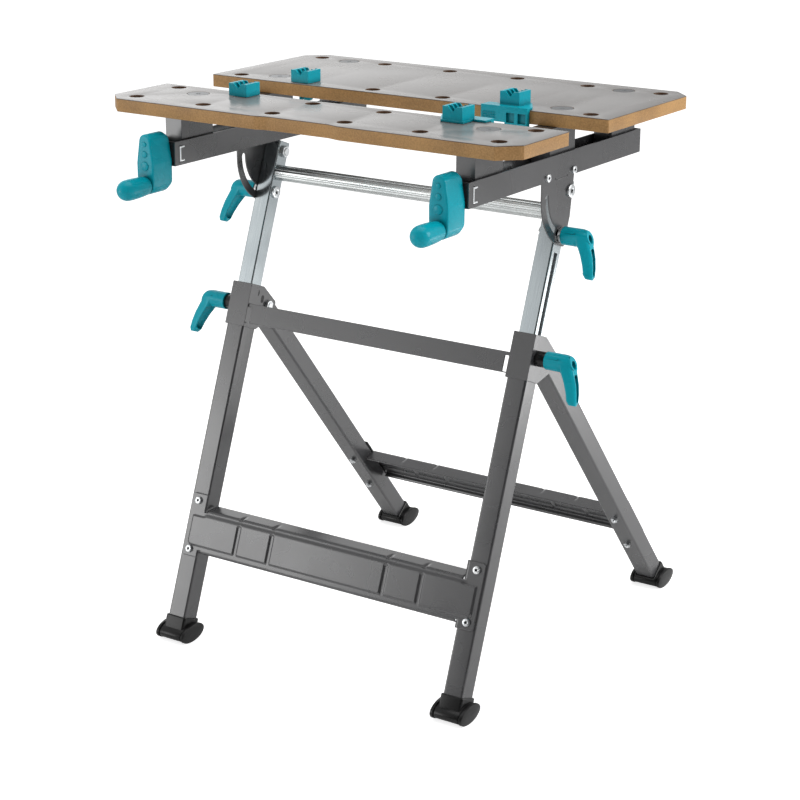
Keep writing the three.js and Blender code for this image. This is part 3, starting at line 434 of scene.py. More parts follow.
def rounded(corners, radii, steps=8):
    """A polygon that turns left with an arc of a given radius at each corner."""
    corners = np.array(corners, float)
    share = np.linspace(0, 1, steps + 1)[:, None]
    loop = []
    for k, radius in enumerate(np.broadcast_to(radii, len(corners))):
        corner = corners[k]
        u, v = corners[k - 1] - corner, corners[(k + 1) % len(corners)] - corner
        u, v = u / np.linalg.norm(u), v / np.linalg.norm(v)
        half = math.acos(np.clip(u @ v, -1, 1)) / 2
        reach = radius / math.tan(half)
        centre = corner + (u + v) / np.linalg.norm(u + v) * radius / math.sin(half)
        chord = corner + u * reach * (1 - share) + v * reach * share - centre
        loop.append(centre + chord / np.linalg.norm(chord, axis=1)[:, None] * radius)
    return np.concatenate(loop)


print("mesh helpers ready")

# %% [markdown]
# ## Boards
# The jaws are 18 mm fibreboard with a grey laminate pressed on the top. The sawn edges are broken slightly, the
# laminate's cut edge shows as a thin dark line, and the walls of the drilled dog holes are painted dark brown, as
# painted shade inside the holes. Each board is one outline and its holes carried down an edge profile.

# %% Jaws
JAW_HALF = 323
JAW_CHAMFER = 26
JAW_EDGES = {"front": (FRONT_JAW_EDGE, -109), "rear": (-7, 244)}
GRIP = {"half": 57, "run": 9, "deep": 5}
GRIP_ROUND = 25
CORNER_ROUND = 2.5
HOLE_RADIUS = 10
HOLE_ROWS = {"front": (-217.5, -128), "rear": (13.9, 214)}
HOLE_COUNT = 6
HOLE_PITCH = 114.4
HOLE_COLUMNS = (np.arange(HOLE_COUNT) - (HOLE_COUNT - 1) / 2) * HOLE_PITCH
DISC_RADIUS = 15
DISC_GAP = 0.3
SEAT_SIDES = 64
RAIL_MIDDLE = 232
DISC_ROWS = {"front": (-152.6,), "rear": (33.8, 207.4)}
BOARD_EDGE = [(0.55, 0), (0.2, -0.08), (0, -0.35), (0, -1.1), (0, -17.3), (0.25, -17.75), (0.7, -18)]
BOARD_SLOTS = [0, 0, 1, 2, 2, 2]  # laminate, its cut edge and the fibreboard, down the edge
# the walls of the dog holes take a dark brown that is painted shade
DRILLED_SLOT = 3


def jaw_outline(which):
    """Chamfered corners on the outer side; the front jaw also has the shallow finger grip."""
    low, high = JAW_EDGES[which]
    near = JAW_HALF - JAW_CHAMFER
    if which == "rear":
        corners = [(-JAW_HALF, low), (JAW_HALF, low), (JAW_HALF, high - JAW_CHAMFER), (near, high),
                   (-near, high), (-JAW_HALF, high - JAW_CHAMFER)]
        return rounded(corners, CORNER_ROUND)
    out, back = GRIP["half"] + GRIP["run"], GRIP["half"] - GRIP["run"]
    deep = low + GRIP["deep"]
    corners = [(-near, low), (-out, low), (-back, deep), (back, deep), (out, low), (near, low),
               (JAW_HALF, low + JAW_CHAMFER), (JAW_HALF, high), (-JAW_HALF, high),
               (-JAW_HALF, low + JAW_CHAMFER)]
    return rounded(corners, [CORNER_ROUND] + [GRIP_ROUND] * 4 + [CORNER_ROUND] * 5)


for which in ("front", "rear"):
    holes = [circle(x, y, HOLE_RADIUS, left=False) for y in HOLE_ROWS[which] for x in HOLE_COLUMNS]
    seat = DISC_RADIUS + DISC_GAP
    holes += [circle(s * RAIL_MIDDLE, y, seat, SEAT_SIDES, False) for y in DISC_ROWS[which] for s in (-1, 1)]
    parts = slab(jaw_outline(which), holes, BOARD_EDGE, on_table, 0, BOARD_SLOTS, DRILLED_SLOT, 0)
    jaw = which + "_jaw"
    board = make(jaw + "_board", parts, BOARD, body_of[jaw], "laminated_board", [jaw])
    print(board.name, len(board.data.polygons), "faces")

# %% [markdown]
# ## Fasteners
# All visible fasteners are zinc plated: flush discs that hold the boards, pan-head screws with a
# hexagon socket, and hexagon nuts with a stub of bolt. Each is a lathe profile; the hexagons come
# from pressing the round: a flat-sided radius is apothem / cos(angle from the middle of the flat).

# %% Discs, screws and nuts
SIXTH = np.pi / 3
DISC_RINGS = np.array([0, 0.6, 1.2, 1.8, 2.4, 3.0, 3.6, 4.2, 5, 8, 12, 14.4, 14.9])
DISC_CROSS = {"half": 0.7, "reach": 4, "deep": 0.5}
DISC_RIM = [(14.9, -0.1), (15, -0.3), (15, -2), (4, -2), (4, -20.3)]
JAW_NUT = {"apothem": 6.5, "thick": 6, "bolt": 3.9, "stub": 1.2}
JAW_NUT_Z = -20.7
DISC_SIDES = 96
# Of a nut: two shares of its apothem, a share of its bolt, the bolt's chamfer and a count of rows
NUT = {"chamfer": 1.1, "corner": 1.2, "bore": 1.1, "end": 0.6, "rows": 7}
PAN_EDGE = [(0, 0), (0, 0.7), (0.2, 0.9), (0.7, 1)]  # drawn in by millimetres, at a share of the height
# Of a socket: a share of its radius, the depth of its lip and a share of the head's height
SOCKET = {"rim": 1.15, "lip": 0.2, "floor": 0.6}


def flat_sided(apothem, turn):
    """Radius of a hexagon along each turn."""
    return apothem / np.cos((turn + SIXTH / 2) % SIXTH - SIXTH / 2)


def nut_parts(place, apothem, thick, bolt, stub):
    """A nut from height 0 to thick with chamfered rims, and the bolt that stands out of it by stub."""
    def press(radius, turn, height):
        rim = apothem * NUT["chamfer"] + np.minimum(thick - height, height)
        return np.where(radius > apothem, np.minimum(flat_sided(apothem, turn), rim), radius)
    far, end, top = apothem * NUT["corner"], NUT["end"], thick + stub
    flats = [(far, height) for height in np.linspace(0, thick, NUT["rows"])]
    body = [(0, 0), *flats, (bolt * NUT["bore"], thick)]
    tip = [(bolt, thick - end), (bolt, top - end), (bolt - end, top), (0, top)]
    return [lathe(body + tip, place, shape=press)]


def screw_parts(place, radius, high, socket):
    """A pan head on the face at height 0; the hexagon socket in its crown is painted dark: painted shade."""
    def press(r, turn, height):
        return np.where(np.isclose(r, socket), flat_sided(socket, turn), r)
    low, lip = high * SOCKET["floor"], high - SOCKET["lip"]
    pan = [(radius - drawn, high * share) for drawn, share in PAN_EDGE]
    head = [(0, 0), *pan, (socket * SOCKET["rim"], high), (socket, lip)]
    hollow = [(socket, lip), (socket, low), (0, low)]
    # The socket's walls and floor take the second finish, a painted shade.
    return [lathe(head, place, shape=press), lathe(hollow, place, slot=1, shape=press)]


def disc_parts(x, y):
    """A flush disc with a shallow cross in its middle and the bolt down to its nut. The face dips
    where it is near enough to an arm of the cross and to the middle."""
    turn = np.arange(DISC_SIDES) * 2 * np.pi / DISC_SIDES
    a, b = DISC_RINGS[:, None] * np.cos(turn), DISC_RINGS[:, None] * np.sin(turn)
    arm = np.minimum(np.abs(a), np.abs(b))
    crossed = (arm < DISC_CROSS["half"]) & (DISC_RINGS[:, None] < DISC_CROSS["reach"])
    face = on_table(x + a, y + b, np.where(crossed, -DISC_CROSS["deep"], 0.0) + DISC_RIM[0][1])
    rim = lathe(DISC_RIM, facing(on_table, 2, 1, (x, y, 0)), DISC_SIDES)
    nut = nut_parts(facing(on_table, 2, -1, (x, y, JAW_NUT_Z)), **JAW_NUT)
    return [(face, weave(len(DISC_RINGS), DISC_SIDES), 0), rim, *nut]


for name, y in zip(("front_jaw_bolt", "rear_jaw_front_bolt", "rear_jaw_back_bolt"),
                   DISC_ROWS["front"] + DISC_ROWS["rear"]):
    for side, sign in SIDES.items():
        node = f"{name}_{side}"
        disc = disc_parts(sign * RAIL_MIDDLE, y)
        make(node + "_disc", disc, [ZINC_DISC], body_of[node], "zinc_steel", [node])
print("six flush discs with nuts")

# %% [markdown]
# ## Frame screws
# Screws hold the panels on the legs and the tilt plates on the rails. Each head stands on the face
# that it holds, so its place is worked out from the sheet below it.

# %% Panel screws and rail screws
LEG_MIDDLE = 235.8
LEG_HALF = 15
REAR_HALF = 14.5
PANEL_FACE = 16.8  # front of the panel's sheet, from the leg's middle line
REAR_FACE = REAR_HALF + PANEL_FACE - LEG_HALF
PANEL_SCREWS = (518.8, 589.8)
REAR_SHIFT = 123.8  # the rear panel sits this much nearer to its pivot than the front one
RAIL_OUT = 250.5
RAIL_IN = 213.5
RAIL_SCREWS = ((-33, -80.5), (36, -80.5))
SCREW = {"radius": 5.4, "high": 3.0, "socket": 1.9}
PANEL_NUT = {"apothem": 4.6, "thick": 4, "bolt": 2.8, "stub": 2.5}

for side, sign in SIDES.items():
    x = sign * LEG_MIDDLE
    heads, backs, rails = [], [], []
    for down in PANEL_SCREWS:
        heads += screw_parts(facing(on_front_leg, 1, -1, (x, -PANEL_FACE, down)), **SCREW)
        heads += nut_parts(facing(on_front_leg, 1, 1, (x, LEG_HALF, down)), **PANEL_NUT)
        rear = down - REAR_SHIFT
        backs += screw_parts(facing(on_rear_leg, 1, 1, (x, REAR_FACE, rear)), **SCREW)
        backs += nut_parts(facing(on_rear_leg, 1, -1, (x, -REAR_HALF, rear)), **PANEL_NUT)
    for y, z in RAIL_SCREWS:
        rails += screw_parts(facing(on_table, 0, sign, (sign * RAIL_OUT, y, z)), **SCREW)
    make(f"front_panel_screws_{side}", heads, [ZINC_BOLT, DARK], "base", "zinc_steel")
    make(f"rear_panel_screws_{side}", backs, [ZINC_BOLT, DARK], "rear_frame", "zinc_steel")
    make(f"rail_screws_{side}", rails, [ZINC_BOLT, DARK], "table", "zinc_steel")
print("panel and rail screws")

# %% [markdown]
# ## Pivots, studs and bushings
# The table turns on two bolts, and two studs in its curved slots clamp it. The rear legs fold on
# two more bolts. Heights in these profiles are distances from the middle plane of the bench, so one
# profile serves both sides.

# %% Pivot bolts, tilt studs, rear pivot bolts and bushings
PIVOT_NUT = {"apothem": 7.3, "thick": 5, "bolt": 5, "stub": 1}
PIVOT_HEAD = {"radius": 9, "high": 3, "socket": 2.8}
PIVOT_FACES = {"inner": 223, "outer": 250.8, "bolt": 5}
STUD_DOWN = 60.2
STUD_HEAD = {"radius": 9, "high": 3, "socket": 2.2}
STUD_WASHER = [(3.5, 250.8), (10.6, 250.8), (11, 251.2), (11, 254.4), (10.5, 254.9), (3.5, 254.9),
               (3.5, 272), (0, 272)]
FOLD_NUT = {"apothem": 6.4, "thick": 4.2, "bolt": 4, "stub": 0.8}
FOLD_HEAD = {"radius": 7.5, "high": 3.4, "socket": 3}
FOLD_FACES = {"inner": 218.5, "outer": 253.1, "bolt": 4}
BUSHING_DOWN = 227.4
BUSHING = [(4.4, 253.1), (9.8, 253.1), (10.5, 253.8), (10.5, 266.4), (9.6, 267.7), (4.4, 267.7),
           (4.4, 253.1)]


def bolt_parts(frame_of, sign, down, faces, nut, head):
    """A bolt across a leg: its nut on the inner face and its head on the outer one."""
    inner, outer, bolt = faces.values()
    shank = [(0, inner), (bolt, inner), (bolt, outer), (0, outer)]
    parts = [lathe(shank, facing(frame_of, 0, sign, (0, 0, down)), COARSE)]
    parts += nut_parts(facing(frame_of, 0, -sign, (sign * inner, 0, down)), **nut)
    return parts + screw_parts(facing(frame_of, 0, sign, (sign * outer, 0, down)), **head)


for side, sign in SIDES.items():
    pivot = bolt_parts(on_front_leg, sign, 0, PIVOT_FACES, PIVOT_NUT, PIVOT_HEAD)
    fold = bolt_parts(on_rear_leg, sign, 0, FOLD_FACES, FOLD_NUT, FOLD_HEAD)
    stud_foot = (sign * PIVOT_FACES["inner"], 0, STUD_DOWN)
    stud = screw_parts(facing(on_front_leg, 0, -sign, stud_foot), **STUD_HEAD)
    stud.append(lathe(STUD_WASHER, facing(on_front_leg, 0, sign, (0, 0, STUD_DOWN))))
    bushing = [lathe(BUSHING, facing(on_front_leg, 0, sign, (0, 0, BUSHING_DOWN)))]
    for name, parts in (("pivot_bolt", pivot), ("rear_pivot_bolt", fold), ("tilt_stud", stud)):
        node = f"{name}_{side}"
        make(node + "_turned", parts, [ZINC_BOLT, DARK], body_of[node], "zinc_steel", [node])
    node = f"height_bushing_{side}"
    make(node + "_turned", bushing, [BLACK], body_of[node], "black_plastic", [node])
print("pivots, studs and bushings")

# %% [markdown]
# ## Cross tube and vise screws
# The cross tube is rolled with shallow flutes: its radius dips by a cosine sixteen times round. A
# thread is a radius that depends on height and turn together. With the phase
#
#     p = height / pitch - turn / 2 pi,  taken from 0 to 1
#
# the flank rises and falls between crest and root as p runs once through its range.

# %% Fluted tube and threaded screws
TUBE = {"down": 31.4, "outer": 11.4, "inner": 9.9, "half": 222.9, "flutes": 16, "dip": 0.5, "steps": 10}
THREAD = {"radius": 7, "deep": 0.9, "pitch": 4, "front": -254.7, "start": -204, "end": -45, "steps": 8}
SCREW_Z = -70


def fluted(radius, turn, height):
    """The outer wall dips between the flutes, the bore stays round."""
    wave = TUBE["dip"] * (0.5 - 0.5 * np.cos(TUBE["flutes"] * turn))
    return np.where(radius > TUBE["inner"], radius - wave, radius)


def threaded(radius, turn, height):
    """A trapezoid thread from start to end; the front of the screw stays plain."""
    phase = (height / THREAD["pitch"] - turn / (2 * np.pi)) % 1
    flank = np.clip(np.abs(phase - 0.5) * 4 - 0.5, 0, 1)
    cut = (radius > 0) & (height >= THREAD["start"])
    return np.where(cut, radius - THREAD["deep"] * flank, radius)


ends = [(TUBE["inner"], -TUBE["half"]), (TUBE["outer"], -TUBE["half"]), (TUBE["outer"], TUBE["half"]),
        (TUBE["inner"], TUBE["half"]), (TUBE["inner"], -TUBE["half"])]
round_tube = facing(on_front_leg, 0, 1, (0, 0, TUBE["down"]))
tube = lathe(ends, round_tube, TUBE["flutes"] * TUBE["steps"], shape=fluted)
make("cross_tube_fluted", [tube], [ZINC_CROSS], body_of["cross_tube"], "zinc_steel", ["cross_tube"])
rows = np.arange(THREAD["start"], THREAD["end"], THREAD["pitch"] / THREAD["steps"])
profile = [(0, THREAD["front"]), (THREAD["radius"], THREAD["front"]), *[(THREAD["radius"], h) for h in rows],
           (THREAD["radius"] - THREAD["deep"], THREAD["end"]), (0, THREAD["end"])]
for side, sign in SIDES.items():
    node = f"vise_screw_{side}"
    screw = lathe(profile, facing(on_table, 1, 1, (sign * RAIL_MIDDLE, 0, SCREW_Z)), COARSE, shape=threaded)
    make(node + "_thread", [screw], [ZINC_BOLT], body_of[node], "zinc_steel", [node])
print("one fluted tube and two threaded screws")

# %% [markdown]
# ## Pressed and welded steel
# Tubes, rails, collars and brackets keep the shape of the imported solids. A copy of each gets its
# seams merged and its edges rounded by a bevel, as a press brake and a coat of powder leave them.
# The clamp levers and the bench dogs are mouldings and get the same treatment.

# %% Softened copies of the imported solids
SEAM = 1e-5
FLAT = math.radians(0.5)
EDGE_SEGMENTS = 2
SOFTENED = {
    "rail": (POWDER, 0.4), "thrust_plate": (DARK, 0.4), "collar": (POWDER, 0.4), "front_leg": (POWDER, 0.3),
    "rear_leg": (POWDER, 0.3), "upper_leg": (ZINC_LEG, 0.3), "front_jaw_bracket": (POWDER, 0.5),
    "rear_jaw_front_bracket": (POWDER, 0.5), "rear_jaw_back_bracket": (POWDER, 0.5),
    "height_stud": (ZINC_BOLT, 0.3), "tilt_lever": (TEAL, 0.5), "height_lever": (TEAL, 0.5),
}
SOFTENED_ONCE = {
    "front_crossbar": (POWDER, 0.5), "dog_front_left": (TEAL, 0.35), "dog_rear_left": (TEAL, 0.35),
    "pad_dog_front_right": (TEAL, 0.35), "pad_dog_rear_right": (TEAL, 0.35),
}


def merged(node, name, finish):
    """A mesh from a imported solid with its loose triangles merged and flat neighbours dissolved."""
    build = bmesh.new()
    build.from_mesh(nodes[node].data)
    build.transform(nodes[node].matrix_world)
    bmesh.ops.remove_doubles(build, verts=build.verts, dist=SEAM)
    bmesh.ops.dissolve_limit(build, angle_limit=FLAT, verts=build.verts, edges=build.edges)
    mesh = bpy.data.meshes.new(name)
    build.to_mesh(mesh)
    build.free()
    mesh.materials.append(finish)
    return mesh


def softened(node, finish, edge_mm):
    """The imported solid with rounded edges."""
    name = node + "_finished"
    piece = bpy.data.objects.new(name, merged(node, name, finish))
    ready(piece, body_of[node], slot_of[node], [node], SHARP)
    bevel = piece.modifiers.new("rounded edges", "BEVEL")
    bevel.width = edge_mm * MM
    bevel.segments = EDGE_SEGMENTS
    bevel.limit_method = "ANGLE"
    bevel.angle_limit = SHARP
    bevel.use_clamp_overlap = False
    even = piece.modifiers.new("flat faces stay flat", "WEIGHTED_NORMAL")
    even.keep_sharp = True
    return piece


for base, (finish, edge) in SOFTENED.items():
    for side in SIDES:
        softened(f"{base}_{side}", finish, edge)
for node, (finish, edge) in SOFTENED_ONCE.items():
    softened(node, finish, edge)
print("softened", len(SIDES) * len(SOFTENED) + len(SOFTENED_ONCE), "solids")

# %% [markdown]
# ## Clips, marks and grip dots
# A bright wire clip sits in the slot of each rail wall. The tilt plate carries a short weld bead between two tool
# marks. On the collar's inner cheek, flat black patches stand for a lanced slot and a crescent: painted shade of
# their dark insides. A dull zinc strip lies behind the slot of each upper leg, where the tube's inner wall shows.
# The two dogs with a gripping pad have rows of small dots on it.

# %% Small marks and clips
CLIP = {"front": -218.3, "bar": -215.3, "hook": -208, "top": -60.8, "bottom": -81.5, "wire": 2.2,
        "round": 0.7}
CLIP_EDGE = [(0.5, 0.8), (0.15, 0.65), (0, 0.3), (0, -0.6)]
BEAD = {"from": -8.3, "to": 16, "z": -86.4, "half": 0.6, "round": 0.5}
BEND_STEPS = 4
BEAD_EDGE = [(0.35, 0.4), (0.1, 0.25), (0, -0.2)]
TOOL_MARKS = ((-12.3, -85.1), (19.5, -85.2))
TOOL_MARK = [(0, 0.06), (1.6, 0.06), (1.7, -0.1)]
CHEEK_IN = 218.8
CHEEK_SLOT = {"back": (11.5, 18.5), "down": (209.5, 221), "round": 3.2}
CRESCENT = {"back": -1, "down": 208, "radius": 6.5, "shift": 3.2, "span": math.radians(50), "tip": 0.15,
            "points": 13}
MARK_EDGE = [(0.1, 0.06), (0, -0.1)]
LINER = {"half": 10.4, "top": 83, "bottom": 370, "inner": 242, "outer": 246.4, "seat": 0.5}
LINER_EDGE = [(0.1, 0), (0, -0.1), (0, -0.6)]
DOTS = {"columns": 8, "rows": (-6, -9.3, -12.6), "pitch": 2.6, "margin": 3}
DOT = [(1.15, -0.2), (1.1, 0.3), (0.75, 0.7), (0, 0.85)]


def clip_outline():
    """A C of bent wire: an upright bar with a hook at each end."""
    near, bar, hook, wire = CLIP["front"], CLIP["bar"], CLIP["hook"], CLIP["wire"]
    top, bottom = CLIP["top"], CLIP["bottom"]
    corners = [(near, bottom), (hook, bottom), (hook, bottom + wire), (bar, bottom + wire),
               (bar, top - wire), (hook, top - wire), (hook, top), (near, top)]
    return rounded(corners, CLIP["round"], BEND_STEPS)


def bead_outline():
    """A thin bar with round ends."""
    low, high = BEAD["z"] - BEAD["half"], BEAD["z"] + BEAD["half"]
    start, end = BEAD["from"], BEAD["to"]
    return rounded([(start, low), (end, low), (end, high), (start, high)], BEAD["round"], BEND_STEPS)


def cheek_painted_shade():
    """Outlines of the flat patches of painted shade for the lanced slot and the crescent on a collar's cheek."""
    (near, far), (top, low) = CHEEK_SLOT["back"], CHEEK_SLOT["down"]
    slot = rounded([(near, top), (far, top), (far, low), (near, low)], CHEEK_SLOT["round"])
    turn = np.linspace(-CRESCENT["span"], CRESCENT["span"], CRESCENT["points"])
    bow = CRESCENT["radius"] * np.stack([np.cos(turn), np.sin(turn)], 1)
    bow += (CRESCENT["back"], CRESCENT["down"])
    bulge = 1 - (turn / CRESCENT["span"]) ** 2
    wide = CRESCENT["shift"] * (CRESCENT["tip"] + (1 - CRESCENT["tip"]) * bulge)
    inner = bow - np.stack([wide, np.zeros_like(turn)], 1)
    return slot, np.concatenate([bow, inner[::-1]])


def liner_parts(sign):
    """Two thin strips in an upper leg, in an L: one across the tube and one along its back wall."""
    half, top, bottom, inner, outer, seat = LINER.values()
    across = np.array([(-half, top), (half, top), (half, bottom), (-half, bottom)], float)
    along = np.array([(inner, top), (outer, top), (outer, bottom), (inner, bottom)], float) * (sign, 1)
    parts = slab(across, [], LINER_EDGE, facing(on_front_leg, 0, sign, (sign * inner, 0, 0)))
    return parts + slab(along, [], LINER_EDGE, facing(on_front_leg, 1, -1, (0, half - seat, 0)))


def dot_parts(x_start, x_step, y, sign):
    """Rows of small domes on the face of a pad."""
    columns = x_start + x_step * np.arange(DOTS["columns"])
    return [lathe(DOT, facing(on_table, 1, sign, (x, y, z)), SMALL) for x in columns for z in DOTS["rows"]]


for side, sign in SIDES.items():
    walls = ((RAIL_OUT, sign), (RAIL_IN, -sign))
    clips = [facing(on_table, 0, turned, (sign * wall, 0, 0)) for wall, turned in walls]
    parts = [part for place in clips for part in slab(clip_outline(), [], CLIP_EDGE, place)]
    make(f"rail_clips_{side}", parts, [ZINC_BOLT], "table", "zinc_steel")
    plate = facing(on_table, 0, sign, (sign * RAIL_OUT, 0, 0))
    bead = slab(bead_outline(), [], BEAD_EDGE, plate)
    make(f"weld_bead_{side}", bead, [POWDER], "table", "grey_powder_coat")
    spots = [facing(on_table, 0, sign, (sign * RAIL_OUT, y, z)) for y, z in TOOL_MARKS]
    marks = [lathe(TOOL_MARK, spot, SMALL) for spot in spots]
    make(f"tool_marks_{side}", marks, [DARK], "table", "dark_steel")
    upper = f"upper_leg_{side}"
    make(upper + "_liner", liner_parts(sign), [ZINC_INSIDE], body_of[upper], "zinc_steel")
    # Painted shade: flat black patches stand for the dark insides of the cheek's slot and crescent.
    cheek = facing(on_front_leg, 0, -sign, (sign * CHEEK_IN, 0, 0))
    parts = [part for outline in cheek_painted_shade() for part in slab(outline, [], MARK_EDGE, cheek)]
    make(f"cheek_painted_shade_{side}", parts, [BLACK], "base", "black_plastic")

for node, sign in (("pad_dog_rear_right", -1), ("pad_dog_front_right", 1)):
    low, high = (np.array(corner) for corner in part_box(node))
    start = low if sign < 0 else high
    x, y = start[0] / MM - sign * DOTS["margin"], (start[1] - TABLE_MIDDLE) / MM
    make(node + "_dots", dot_parts(x, -sign * DOTS["pitch"], y, sign), [TEAL], body_of[node], "teal_plastic")
print("clips, marks and grip dots")

# %% [markdown]
# ## Panels
# Each panel is one sheet, worked out as grids that share their border points: the top flange and
# its bend, the face, the rolled lip, and the tabs that reach over the legs. The pressed fields are
# a height over the sheet. A field ends where the distance to a rounded frame passes zero:
#
#     distance = |max(q, 0)| + min(max(q), 0) - r,  q = |p - middle| - half + r
#
# and a soft step over that distance gives the border of the pressing.

# %% Panel sheet
PANEL = {"top": 531, "bottom": 593.5, "tab_top": 508, "tab_bottom": 600, "flange": 24, "lip": 10,
         "sheet": 1.5}
PANEL_BEND = {"top": 3.5, "bottom": 4.5}
PANEL_X = {"flange": 217.5, "tab": 219.5, "end": 247.8, "corner": 5}
PANEL_SHARP = math.radians(60)
FIELD = {"rise": 1.6, "end": 240, "bottom": 583, "top": 541, "border": 2.6, "round": 6, "fade": 7,
         "blend": 8}
GROOVES = (-155.5, -97, 97, 155.5)
GROOVE = {"half": 3.2, "border": 3.0, "past": 8}
DART = {"half": 2.4, "deep": 1.6, "reach": 7, "back": 0.4}
# Columns and rows of the grids; a pair is the reach and the count of finer ones round a border
ACROSS = {"all": 90, "groove": (6, 19)}
DOWN = {"flange": 10, "bend": 6, "face": 14, "border": (6, 15), "lead": 2, "roll": 8, "above": 16,
        "below": 10}
TAB_SHARES = np.concatenate([np.linspace(0, 0.6, 6), np.linspace(0.62, 1, 18)])[None]


def soft_step(t):
    """3 t^2 - 2 t^3 between 0 and 1."""
    t = np.clip(t, 0, 1)
    return t * t * (3 - 2 * t)


def frame_distance(a, b, half_a, half_b, r):
    """Distance to a rounded frame round the origin, negative inside."""
    qa, qb = np.abs(a) - half_a + r, np.abs(b) - half_b + r
    return np.hypot(np.maximum(qa, 0), np.maximum(qb, 0)) + np.minimum(np.maximum(qa, qb), 0) - r


def pressed(x, down):
    """Height of the pressed fields over the sheet; the grooves between them go back to the sheet."""
    deep = FIELD["bottom"] - PANEL["tab_top"]
    middle = FIELD["bottom"] - deep / 2
    away = frame_distance(x, down - middle, FIELD["end"], deep / 2, FIELD["round"])
    height = FIELD["rise"] * soft_step(0.5 - away / FIELD["border"])
    near = soft_step((down - PANEL["top"] - PANEL_BEND["top"]) / FIELD["fade"])
    tab = soft_step((down - FIELD["top"]) / FIELD["border"] + 0.5)
    share = soft_step((PANEL_X["tab"] - np.abs(x)) / FIELD["blend"] + 0.5)
    height = height * (near * share + tab * (1 - share))
    long = (FIELD["bottom"] + GROOVE["past"] - FIELD["top"]) / 2
    for groove in GROOVES:
        away = frame_distance(x - groove, down - FIELD["top"] - long, GROOVE["half"], long, GROOVE["half"])
        height = height * (1 - soft_step(0.5 - away / GROOVE["border"]))
    return height


def stops(ends, count, dense, reach, fine):
    """Evenly spaced stops between two ends, with finer ones round some places."""
    near = [np.linspace(place - reach, place + reach, fine) for place in dense]
    every = np.unique(np.concatenate([np.linspace(*ends, count), *near]).round(3))
    return every[(every >= ends[0]) & (every <= ends[1])]


def grid(place, x, out, down):
    """One grid of a sheet as a part."""
    points = place(x, out, down)
    return points, weave(*points.shape[:2], False), 0


def flange_rows(x):
    """Back, and down, of the flange and its bend; small darts are pressed in above the grooves."""
    flat, bent = DOWN["flange"], DOWN["bend"]
    along = np.concatenate([np.linspace(PANEL["flange"], PANEL_BEND["top"], flat), np.zeros(bent)])
    bend = np.concatenate([np.zeros(flat), np.linspace(0, 1, bent + 1)[1:]])
    back = np.where(bend > 0, PANEL_BEND["top"] * (1 - bend) ** 2, along)
    low = PANEL["top"] - back * math.sin(LEAN) + PANEL_BEND["top"] * bend ** 2
    dart = sum(np.exp(-((x - groove) / DART["half"]) ** 2) for groove in GROOVES)
    fade = DART["deep"] * np.exp(-((back - PANEL_BEND["top"]) / DART["reach"]) ** 2) * (bend < 1)
    dip = dart[None] * fade[:, None]
    return back[:, None] * math.cos(LEAN) + dip * DART["back"], low[:, None] + dip


def panel_parts(place):
    """The grids of a panel; place(x, out, down) gives a point that lies out from the sheet's face."""
    x = stops((-PANEL_X["tab"], PANEL_X["tab"]), ACROSS["all"], GROOVES, *ACROSS["groove"])
    x = np.unique([*x, -PANEL_X["flange"], PANEL_X["flange"]])
    inner = x[np.abs(x) <= PANEL_X["flange"]]
    face_top, face_end = PANEL["top"] + PANEL_BEND["top"], PANEL["bottom"] - PANEL_BEND["bottom"]
    borders = (FIELD["top"] - DOWN["lead"], FIELD["bottom"])
    down = stops((face_top, face_end), DOWN["face"], borders, *DOWN["border"])
    parts = [grid(place, x[None], pressed(x[None], down[:, None]), down[:, None])]

    back, low = flange_rows(inner)
    parts.append(grid(place, inner[None], -back, low))

    roll = np.linspace(0, 1, DOWN["roll"])
    back = np.concatenate([PANEL_BEND["bottom"] * roll ** 2, [PANEL["lip"]]])
    low = np.concatenate([PANEL["bottom"] - PANEL_BEND["bottom"] * (1 - roll) ** 2, [PANEL["bottom"]]])
    parts.append(grid(place, inner[None], -back[:, None], low[:, None]))

    corner = PANEL_X["corner"]
    above = np.linspace(PANEL["tab_top"], face_top, DOWN["above"])
    below = np.linspace(face_end, PANEL["tab_bottom"], DOWN["below"])
    for sign in SIDES.values():
        for rows in (above, down, below):
            near_edge = np.minimum(rows - PANEL["tab_top"], PANEL["tab_bottom"] - rows).clip(0, corner)
            cut = corner - np.sqrt(corner ** 2 - (corner - near_edge) ** 2)
            end = (PANEL_X["end"] - cut)[:, None]
            across = sign * (PANEL_X["tab"] + (end - PANEL_X["tab"]) * TAB_SHARES)[:, ::sign]
            parts.append(grid(place, across, pressed(across, rows[:, None]), rows[:, None]))
    return parts


def front_place(x, out, down):
    """The front panel's face lies before the front legs; x is turned so that faces look outwards."""
    return on_front_leg(-x, -PANEL_FACE - out, down)


def rear_place(x, out, down):
    """The rear panel's face lies behind the rear legs."""
    return on_rear_leg(x, REAR_FACE + out, down - REAR_SHIFT)


def sheet(node, place):
    """A panel from its grids: Solidify gives it the thickness, inwards from its outer face."""
    piece = make(node + "_pressing", panel_parts(place), [POWDER], body_of[node], "grey_powder_coat", [node],
                 PANEL_SHARP, keep_turn=True)
    solid = piece.modifiers.new("sheet", "SOLIDIFY")
    solid.thickness = PANEL["sheet"] * MM
    solid.offset = -1
    return piece


sheet("front_panel", front_place)
sheet("rear_panel", rear_place)
print("two pressed panels")

# %% [markdown]
# ## Cranks and knobs
# The cranks are pear-shaped arms: the outline is the hull of three circles, taken by its support
# function, where for each direction the circle that reaches furthest gives the point. Towards the
# rail the arm draws in a little about its waist. The knobs are turned.

